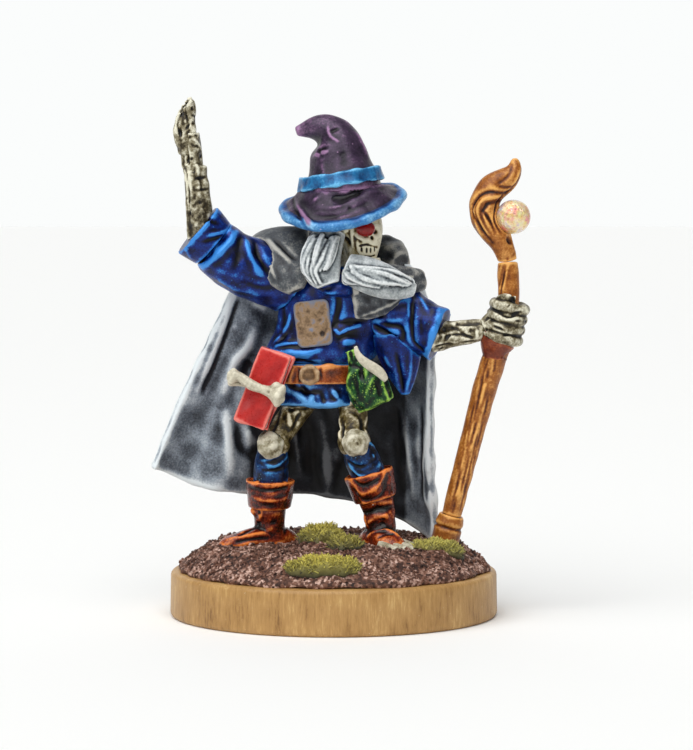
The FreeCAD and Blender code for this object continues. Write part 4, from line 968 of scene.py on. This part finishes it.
legs = {
    "rightThigh": {
        "part": "right_thigh_bone", "ripple": (1.2, 0.025, 0), "paint": "thighBone",
        "strokes": [
            (0.22, -0.3, 2.6, 3.5), (0.14, 0.16, 2.4, 3.2, 2.5, 2.1),
            (0.16, -0.18, 1.8, 3.4, 1.4, 2.2, 1, 1.3), (0.14, -0.16, 3.3, 3.2, 2.8, 2.1),
            (0.12, 0.12, 0.9, 2.2, 0.6, 1.3), (0.12, -0.14, 1.4, 1.3, 1.9, 1.1),
            (0.12, -0.1, 2.9, 3.7, 4, 3.5),
        ],
    },
    "leftThigh": {
        "part": "left_thigh_bone", "ripple": (1.2, 0.025, 1), "paint": "thighBone",
        "strokes": [
            (0.16, 0.2, 0.2, 2.8, -0.2, 1.4), (0.16, -0.14, 0.9, 3.4, 1.8, 2.7, 1.9, 1.7),
            (0.1, -0.25, 0.7, 1.8, 1.2, 1.9), (0.12, 0.12, 2.2, 2.9, 2.4, 1.8),
            (0.14, -0.12, 0.7, 3.7, 1.4, 3.7), (0.1, -0.14, 0.4, 2.3, 0.4, 1.4),
            (0.1, -0.16, 1.5, 1.4, 2.2, 1.3),
        ],
    },
    "rightWrap": {
        "part": "right_shin_wrap", "ripple": (1.2, 0.025, 2), "paint": "wrapBlue",
        "strokes": [
            (0.13, 0.16, 1, 1.7, 1.7, 1.5, 2.6, 2.2), (0.1, -0.12, 0.8, 1.2, 1.8, 1.2, 2.7, 1.5),
            (0.1, 0.08, 0.6, 1.9, 1.3, 2, 2.6, 2.8),
        ],
    },
    "leftWrap": {
        "part": "left_shin_wrap", "ripple": (1.2, 0.025, 3), "paint": "wrapBlue",
        "strokes": [
            (0.16, 0.2, 0, 0.9, 1.4, 0.4, 2.8, 1.3), (0.1, -0.16, 0.2, 0.3, 1.5, -0.1, 3, 0.8),
            (0.1, -0.12, -0.1, 1.3, 1.4, 1.1, 2.5, 1.8), (0.14, 0.1, 2.4, 4.2, 2.5, 2.4),
            (0.1, 0.1, 2.8, 2.3, 2.9, 1.8),
        ],
    },
    "rightBootCuff": {
        "part": "right_boot_cuff", "ripple": (1.2, 0.025, 4), "paint": "boot",
        "strokes": [
            (0.14, 0.12, 0.1, 3, 0.7, 2.4, 1.9, 2.2, 3.4, 2.4),
            (0.12, -0.14, 0.4, 1.8, 1.9, 1.6, 3.2, 1.8), (0.14, 0.12, 0.6, 1.1, 1.9, 0.8, 3.2, 1),
        ],
    },
    "leftBootCuff": {
        "part": "left_boot_cuff", "ripple": (1.2, 0.025, 5), "paint": "boot",
        "strokes": [
            (0.16, 0.14, -0.1, 1.6, 1.4, 1, 2.6, 1.7, 3.5, 3, 3.8, 4),
            (0.16, -0.1, 0.1, 1, 1.4, 0.5, 2.9, 1, 3.8, 2.2),
            (0.1, -0.1, 0, 2.1, 1.4, 1.6, 2.5, 2.1), (0.14, 0.1, 0.4, 0.6, 1.6, 0.2),
        ],
    },
    "rightBoot": {
        "part": "right_boot", "ripple": (1.2, 0.025, 6), "paint": "boot",
        "strokes": [
            (0.28, -0.2, 2.6, 3.4, 3.7, 3.6, 4.6, 3.4), (0.24, 0.24, 1.8, 2.6, 2.7, 2.9, 4.5, 2.7),
            (0.1, -0.2, 2.5, 2.6), (0.13, -0.22, 1.7, 1.9, 3, 1.9, 4.3, 2.1),
            (0.16, 0.12, 0.7, 1.2, 2.2, 1.5, 4, 1.5), (0.14, -0.1, 1, 0.5, 2.5, 0.9, 4, 0.9),
            (0.12, 0.12, 3.3, 3.2, 3.2, 2.3),
        ],
    },
    "leftBoot": {
        "part": "left_boot", "ripple": (1.2, 0.025, 7), "paint": "boot",
        "strokes": [
            (0.22, -0.28, 1, 2.7, 2.1, 3.1, 3.9, 3.3), (0.13, 0.22, 1.4, 2.1, 2.6, 2.6, 4.1, 2.4),
            (0.09, -0.2, 1.1, 1.4, 2.4, 2, 4.3, 2), (0.14, 0.2, 1.3, 1, 2.6, 1.5, 4.3, 1.7),
            (0.12, 0.12, 1, 2.6, 1.3, 1.7), (0.1, -0.12, 2.1, 1, 3.3, 1.2),
            (0.16, 0.12, 1.6, 3.6, 3.1, 3.6),
        ],
    },
    "rightKneeCap": {
        "part": "right_knee_cap", "voxel": 0.07, "soften": 2, "ripple": (1.0, 0.05, 4),
        "paint": "bone",
    },
    "leftKneeCap": {
        "part": "left_knee_cap", "voxel": 0.07, "soften": 2, "ripple": (1.0, 0.05, 4),
        "paint": "bone", "strokes": [],
    },
    "leftToes": {"part": "left_toe_bones", "voxel": 0.07, "soften": 2, "paint": "bone"},
}


def kneeStrokes():
    # a shallow ring and two pits on the cap that faces forward
    low, high = nodeBox("left_knee_cap")
    wide, tall = high.x - low.x, high.z - low.z
    turns = np.linspace(0, 6.28, 9)
    ring = []
    for a in turns:
        ring += [wide * (0.5 + 0.3 * math.cos(a)), tall * (0.5 + 0.3 * math.sin(a))]
    return [(0.14, 0.05, *ring), (0.07, -0.04, wide * 0.56, tall * 0.5),
            (0.05, -0.03, wide * 0.42, tall * 0.6)]


legs["leftKneeCap"]["strokes"] = kneeStrokes()
make(legs)
print("cape and legs done")


hands = {
    "rightForearm": {
        "part": "right_forearm_bones", "voxel": 0.08, "soften": 4, "ripple": (1.1, 0.03, 12),
        "paint": "handBone",
        "strokes": [
            (0.09, -0.34, 0.2, 5.5, 0.3, 4.2, 0.5, 2.1), (0.16, -0.2, 0.7, 5.7, 0.9, 5.1),
            (0.08, -0.12, 1, 4.7, 1.7, 4.8), (0.08, -0.1, 0.9, 3.8, 1.8, 3.9),
            (0.1, -0.14, 1.2, 2.8, 1.4, 3), (0.12, 0.08, 1.9, 5.5, 2, 4.2),
            (0.08, 0.08, 0.4, 5.2, 0.7, 3.3),
        ],
        "ropes": [
            ([(1.35, 0.6), (1.1, 2.6), (0.85, 4.2), (0.75, 5.4)], [1.7, 1.75, 1.65, 1.7]),
        ],
    },
    "rightPalm": {
        "part": "right_palm", "voxel": 0.07, "soften": 4, "ripple": (1.1, 0.03, 9),
        "paint": "handBone",
        "strokes": [
            (0.1, -0.3, 0, 2, 0.1, 1.1, 0.2, 0.3), (0.09, -0.24, 0.4, 0.6, 1.2, 0.8),
            (0.09, -0.18, 0.3, 2.2, 0.9, 2.4), (0.1, -0.12, 0.5, 1.6, 1, 1.5),
            (0.09, -0.12, -0.5, 1.8, -0.3, 0.9), (0.08, 0.1, -0.2, 1.8, -0.1, 1.1),
            (0.1, 0.08, 1.2, 2.2, 1.2, 1.1),
        ],
        "ropes": [
            ([(0.55, -0.1), (0.5, 0.8), (0.3, 1.8)], [1.75, 1.6, 1.55]),
            ([(-0.1, 0.1), (-0.15, 1.2), (-0.3, 2.0)], [0.6, 0.65, 0.7]),
        ],
    },
    "rightFingers": {
        "part": "right_fingers", "voxel": 0.06, "soften": 4, "ripple": (1.1, 0.03, 12),
        "paint": "handBone",
        "strokes": [
            (0.1, -0.3, 0.8, 3.9, 0.7, 3.4), (0.1, -0.3, 0.7, 2.9, 0.4, 2.1, 0.6, 1.2),
            (0.1, -0.16, 1.5, 3.2), (0.08, -0.14, 1.5, 2.7, 1.7, 2.6),
            (0.08, -0.16, 1, 1.7, 1.2, 2), (0.12, 0.08, 1.3, 4.1, 1.4, 3.6),
            (0.12, 0.08, 0.9, 2.4, 1, 2.1), (0.1, -0.1, 1.6, 2.2, 1.8, 2),
        ],
        "ropes": [
            ([(1.0, 0.2), (0.9, 1.3), (1.05, 2.4), (1.25, 3.5)], [1.6, 1.75, 1.45, 0.9]),
            ([(1.1, -0.2), (1.3, 0.9), (1.35, 2.0), (1.3, 3.3), (1.25, 3.8)], [0.85, 0.95, 0.85, 0.9, 0.6]),
            ([(0.95, 0.2), (0.75, 1.2), (0.85, 2.2), (1.0, 3.4)], [0.75, 0.8, 0.75, 0.55]),
            ([(0.55, 0.2), (0.35, 1.2), (0.5, 2.0), (0.75, 2.9)], [0.6, 0.75, 0.6, 0.45]),
        ],
    },
    "leftForearm": {
        "part": "left_forearm_bones", "voxel": 0.08, "soften": 4, "ripple": (1.1, 0.03, 11),
        "paint": "handBone",
        "strokes": [
            (0.1, -0.2, 0.7, 0.3, 1.4, 1.4, 3.1, 1.2), (0.09, -0.14, 2.1, 1.7, 3.1, 1.1),
            (0.1, -0.18, 0.5, 0.1, 3.3, 0.1), (0.12, 0.1, 1.4, 2.8, 2.2, 1.9, 3.2, 2),
            (0.08, -0.16, 1.7, 2.7, 2, 2.1), (0.1, 0.1, 3.4, 1.8, 3.5, 1.1),
            (0.12, 0.1, 1.6, 0.8, 2.9, 0.8),
        ],
        "ropes": [
            ([(0.3, 0.95), (1.4, 1.15), (2.6, 1.5), (3.6, 1.7)], [1.9, 1.55, 1.6, 1.75]),
        ],
    },
    "leftPalm": {
        "part": "left_palm", "voxel": 0.07, "soften": 4, "ripple": (1.1, 0.03, 8),
        "paint": "handBone",
        "strokes": [
            (0.1, -0.14, 0.3, 1, 0.7, 1.3), (0.1, -0.1, 0.2, 0.3, 0.7, 0),
        ],
    },
    "leftFingers": {
        "part": "left_fingers", "voxel": 0.06, "soften": 4, "ripple": (1.1, 0.03, 11),
        "paint": "handBone",
        "strokes": [
            (0.12, -0.26, 0.9, 2.8, 1.8, 2.3, 2.8, 2.6), (0.1, -0.2, 0.8, 1.6, 1.5, 1.3),
            (0.1, -0.2, 1.6, 0.9, 3.2, 1.1), (0.09, -0.22, 2.5, 2, 3.4, 1.9),
            (0.05, -0.06, 2, 3.2, 1.8, 3), (0.14, 0.1, 1.6, 3.2, 2.6, 3.3),
            (0.12, 0.08, 2, 1.7, 3.2, 1.5),
        ],
    },
}
make(hands)


def grainStrokes(count=46):
    # nicks and streaks that follow the lean of the shaft
    dice = random.Random(5)
    low, high = nodeBox("staff_shaft")
    cuts = []
    for _ in range(count):
        start = dice.uniform(0, 0.92)
        end = min(1, start + dice.uniform(0.05, 0.16))
        side = dice.uniform(-0.55, 0.55)
        line = []
        for share in np.linspace(start, end, 4):
            core = 0.9 + share * 4.6 - 0.6 * share * share
            line += [core + side * 0.9, share * (high.z - low.z)]
        cuts.append((0.07, dice.choice((-0.06, -0.05, 0.04)), *line))
    return cuts


staff = {
    "ferrule": {"part": "staff_ferrule", "soften": 2, "ripple": (1.6, 0.02, 7), "paint": "staff"},
    "shaft": {
        "part": "staff_shaft", "soften": 2, "ripple": (1.6, 0.02, 5),
        "paint": "staff", "strokes": grainStrokes(),
    },
    "crook": {
        "part": "staff_head", "soften": 2, "ripple": (1.6, 0.02, 5), "paint": "staff",
        "strokes": [
            (0.12, -0.2, 1.7, 1.5, 0.7, 2.8, 0.2, 4, 0.7, 5, 1.5, 5.3, 2.8, 5.2, 3.8, 5),
            (0.1, 0.16, 1.4, 2, 0.8, 3.2, 0.6, 4, 1, 4.7, 1.9, 4.9, 2.8, 4.8),
            (0.1, -0.22, 1.9, 2.3, 1.5, 3.2, 1, 3.9, 1.3, 4.4, 2.3, 4.6),
            (0.1, 0.14, 1.4, 2.7, 1.1, 3.5, 1.1, 4.1),
            (0.1, -0.2, 2.3, 2.3, 1.9, 3.1, 2, 4.1, 2.8, 4.7), (0.2, -0.4, 3.5, 1.8),
            (0.07, -0.08, 2.8, 0.4, 3.1, -2.5), (0.07, -0.08, 3.8, 0.8, 3.6, -1.7),
            (0.1, -0.08, 3.2, 7.4, 2.9, 6.5, 1.9, 5.8), (0.12, 0.1, 3.8, 7.2, 3.9, 6.4, 3.3, 5.4),
            (0.09, -0.12, 2.1, 5.7, 3.2, 5.7, 3.8, 6.6), (0.08, 0.07, 3.2, 7.6, 3.6, 6.5),
            (0.12, 0.12, 0, 4.2, 0.2, 3, 1, 1.9),
        ],
    },
    "grip": {"part": "staff_grip", "soften": 2, "ripple": (1.6, 0.02, 4), "paint": "grip"},
}
make(staff)
finish(sculpt("orb", "staff_orb", 0.08, 3), (pearlPaint(), "orb_pearl_paint"), "staff_orb")


book = {
    "bookCover": {"part": "book_cover", "voxel": 0.08, "ripple": (1.5, 0.06, 3), "paint": "book"},
    "bookPages": {"part": "book_pages", "voxel": 0.08, "soften": 1, "paint": "pages"},
}
# (along, up) places: along in millimetres, up as a share of the height
boneCharm = {
    "run": ((0.45, 0.84), (1.0, 0.8), (1.7, 0.62), (2.5, 0.5), (3.2, 0.42), (3.8, 0.4)),
    "widths": [1.15, 0.85, 1.0, 0.8, 0.95, 0.9],
    "knobs": ((0.5, 0.95, 0.6), (0.35, 0.74, 0.7), (3.7, 0.54, 0.85), (3.95, 0.24, 0.85), (3.4, 0.4, 0.95)),
    "strokes": [
        (0.14, -0.1, 1.3, 1.6, 1.8, 1.2), (0.1, -0.16, 3.1, 1.2, 3, 0.5), (0.16, 0.06, 2.3, 0.9),
        (0.1, 0.06, 0.6, 1.5), (0.14, 0.08, 3.6, 1.1, 3.9, 0.9),
    ],
}


def makeCharm():
    low, high = nodeBox("bone_charm")

    def at(along, up):
        return Vector((low.x + along, low.y + 0.75, low.z + (high.z - low.z) * up))
    shaft = addNode(blank(), "bone_charm")
    addRope(shaft, [at(*place) for place in boneCharm["run"]], boneCharm["widths"])
    for along, up, wide in boneCharm["knobs"]:
        addBall(shaft, at(along, up), (wide, wide, wide))
    charm = bake(shaft, "boneCharm", 0.08, 3)
    draw(charm, "bone_charm", boneCharm["strokes"])
    finish(charm, paints["paleBone"], "bone_charm")


pouch = {
    "pouch": {
        "part": "pouch", "voxel": 0.08, "ripple": (0.8, 0.03, 3), "paint": "pouch",
        "strokes": [
            (0.14, 0.12, 0.4, 3, 0.2, 2.1, 1.5, 0.5), (0.16, 0.14, 2.1, 2.8, 1.5, 1.4),
            (0.14, 0.14, 2.7, 2.8, 3, 1.6, 3.5, 0.6), (0.16, -0.22, 1.2, 3.4, 1.3, 2.6),
            (0.1, 0.12, 1.5, 0.3, 2.5, 0.5, 3.5, 0.7), (0.1, -0.16, 0, 3.9, 0.3, 3.7, 1.1, 3.5),
            (0.14, -0.12, 0.8, 2.5, 1, 1.4), (0.14, -0.1, 2.4, 2.4, 2.6, 1.3),
            (0.1, 0.12, -0.1, 4.8, 0.1, 4.1), (0.08, -0.12, 0.4, 4.7, 0.5, 4),
        ],
    },
    "pouchTie": {"part": "pouch_tie", "voxel": 0.07, "soften": 2, "paint": "paleBone"},
}
make(book)
makeCharm()
make(pouch)
print("hands, staff and belongings done")


head = {
    "skull": {
        "part": "skull", "voxel": 0.07, "soften": 2, "paint": "skullBone",
        "strokes": [
            (0.14, 0.18, 2.2, 1.9, 2.9, 1.5, 3.4, 1.5), (0.34, -0.42, 1.5, 1.3),
            (0.16, -0.4, 3.9, 2.1), (0.13, -0.34, 3.6, 1.6), (0.16, 0.14, 1.3, 2.1, 1.7, 2.3),
            (0.1, 0.12, 2, 2.3, 2, 1), (0.06, -0.09, 2.7, 0.9, 2.7, 0.6),
            (0.06, -0.1, 3.1, 0.9, 3.1, 0.5), (0.06, -0.09, 3.4, 0.9, 3.4, 0.5),
            (0.05, -0.08, 3.7, 0.9, 3.7, 0.6), (0.07, -0.12, 2.6, 0.3, 3.1, 0.2, 3.7, 0.3),
            (0.1, 0.1, 2.9, 1.9, 3.6, 1.8), (0.07, -0.12, 2.5, 1, 3.1, 1.1, 3.9, 0.9),
            (0.09, 0.06, 2.4, 1.4, 2.5, 0.7, 2.9, 0.2),
        ],
    },
    "jaw": {"part": "jaw", "voxel": 0.07, "soften": 2, "paint": "skullBone"},
    "neck": {"part": "neck_bones", "voxel": 0.1, "soften": 2, "paint": "bone"},
}
hair = {
    "hairLock": {
        "part": "hair_lock", "width": 0.56,
        "lines": [
            [(0.6, 3.9), (0, 3), (-0.2, 2), (0.3, 1)],
            [(1, 3.8), (0.5, 2.8), (0.2, 1.7), (0.6, 0.5)],
            [(1.5, 3.7), (1, 2.6), (0.8, 1.5), (1.1, 0.3)],
            [(2, 3.5), (1.5, 2.4), (1.1, 1.4), (1.4, 0.4)], [(2.3, 3.9), (2.1, 2.7), (1.7, 1.4)],
            [(2.7, 3.9), (2.3, 2.6), (2, 1.5)], [(0.3, 4.1), (-0.3, 2.8), (-0.4, 1.6), (-0.1, 1)],
        ],
    },
    "beard": {
        "part": "beard", "width": 0.5,
        "lines": [
            [(-0.3, 2.9), (1.3, 2.4), (3.2, 2.3), (5.2, 1.9), (5.5, 1.3)],
            [(-0.2, 2.6), (1.2, 2), (2.7, 1.4), (4.1, 1.1), (5, 1.1)],
            [(-0.2, 2.3), (0.6, 1.7), (1.7, 1.2), (2.8, 0.9)],
            [(-0.1, 2.1), (0.3, 1.4), (1.4, 1.1)], [(1.6, 2.3), (3.2, 1.9), (4.4, 1.4), (5.2, 1.1)],
            [(0.6, 2.5), (1.7, 1.7), (3.3, 1.3), (4, 1)], [(2.7, 2.4), (4.2, 2.1), (5.4, 1.6)],
            [(-0.3, 2), (0.2, 1.3), (0.7, 1.1)],
        ],
    },
}


def makeFace():
    low, high = nodeBox("right_eye")
    eye = (low + high) / 2
    corner = nodeBox("skull")[0]
    socket = (0.6, -0.4, eye.x - corner.x, eye.z - corner.z + 0.2)
    head["skull"]["strokes"].insert(0, socket)
    make(head)
    ball = addBall(blank(), eye + Vector((-0.08, 0.12, 0.22)), (1.5, 1.1, 1.25), fine=3)
    finish(bake(ball, "rightEye", 0.06, 3), paints["eye"], "right_eye")


def makeHair(name, part, lines, width):
    # rolls of hair laid over the lump they grow from, with more rolls between them
    rough = sculpt("rough", part, 0.15, 0)
    tree = skin(rough)
    low, _ = nodeBox(part)
    clay = blank()
    dice = random.Random(len(lines))
    between = []
    for first, second in zip(lines[:-1], lines[1:]):
        between.append([((a[0] + b[0]) / 2, (a[1] + b[1]) / 2) for a, b in zip(first, second)])
    for line in lines + between:
        stray = [(x + dice.uniform(-0.1, 0.1), z + dice.uniform(-0.1, 0.1)) for x, z in line]
        thick = width * dice.uniform(0.55, 1.05)
        lift = Vector((0, -0.1 * dice.uniform(0.2, 1.8), 0))
        points = [touch(tree, low.x + x, low.z + z) + lift for x, z in stray]
        addRope(clay, points, [thick * 0.8, thick * 1.1, thick, thick * 0.35])
    bpy.data.objects.remove(rough)
    piece = bake(addNode(clay, part), name, 0.07, 1)
    finish(piece, paints["hair"], part)


makeFace()
for name, look in hair.items():
    makeHair(name, look["part"], look["lines"], look["width"])


hat = {
    "hatCrown": {
        "part": "hat_crown", "voxel": 0.1, "ripple": (1.6, 0.03, 3), "tilt": 0.3, "paint": "hat",
        "strokes": [
            (0.12, -0.16, 1.3, 3.2, 1.8, 3.3, 2.4, 3.4), (0.14, 0.1, 1.4, 2.9, 2, 3, 2.5, 3.2),
            (0.12, -0.14, 2.7, 4.6, 3.3, 4.9), (0.1, 0.1, 2.5, 5, 2.7, 4.3, 3.3, 3.9),
            (0.22, 0.1, 4.5, 4.7, 5.1, 3.6, 5.5, 2.7), (0.3, -0.1, 3.6, 3.2, 3.8, 2),
            (0.2, 0.08, 2.1, 2.3, 2.2, 1.4),
        ],
    },
    "hatBand": {
        "part": "hat_band", "voxel": 0.08, "soften": 2, "ripple": (1.4, 0.06, 5), "tilt": 0.5,
        "paint": "brightBlue",
    },
}
brim = {
    "strokes": [
        (0.2, 0.2, 1.5, 1.9, 2.1, 1, 2.5, 0.4), (0.26, -0.22, 4, 2.6, 5.1, 2.6, 7, 3.5),
        (0.1, -0.12, 5.4, 1.7), (0.18, 0.1, 3.1, 1.9, 4.5, 1.9, 7.6, 2.7),
        (0.16, -0.12, 2.9, 1.2, 4.5, 1.2, 6.7, 1.9), (0.16, -0.14, 1.1, 2.3, 1.3, 1.5, 2, 0.6),
        (0.14, 0.1, 3.1, 2.6, 2.7, 2.3), (0.16, 0.1, 7.9, 3.6, 8.9, 2.9),
    ],
    "edge": 0.25,       # how far the blue of the turned edge reaches
}


def makeBrim():
    clay = addNode(addNode(blank(), "hat_brim"), "hat_brim_edge")
    piece = bake(clay, "hatBrim", 0.09, 3)
    draw(piece, "hat_brim_edge", brim["strokes"])
    form = Form(piece)
    form.ripple(1.6, 0.05, 7)
    turned = nodes["hat_brim_edge"].data
    rim = BVHTree.FromPolygons([v.co / mm for v in turned.vertices],
                               [tuple(f.vertices) for f in turned.polygons])
    away = np.array([rim.find_nearest(Vector(p))[3] for p in form.at])
    form.at[:, 2] += np.clip((form.at[:, 0] - 0.2) / 5.2, 0, 1) ** 1.3 * 0.75
    form.at[:, 2] += np.clip((-form.at[:, 0] - 1.5) / 2.5, 0, 1) * 0.3
    form.write()
    edge = np.clip(1 - away / brim["edge"], 0, 1)
    finish(piece, paints["hat"], "hat_brim", "hat_brim_edge", extra={"edge": edge})


make(hat)
makeBrim()
print("head done")
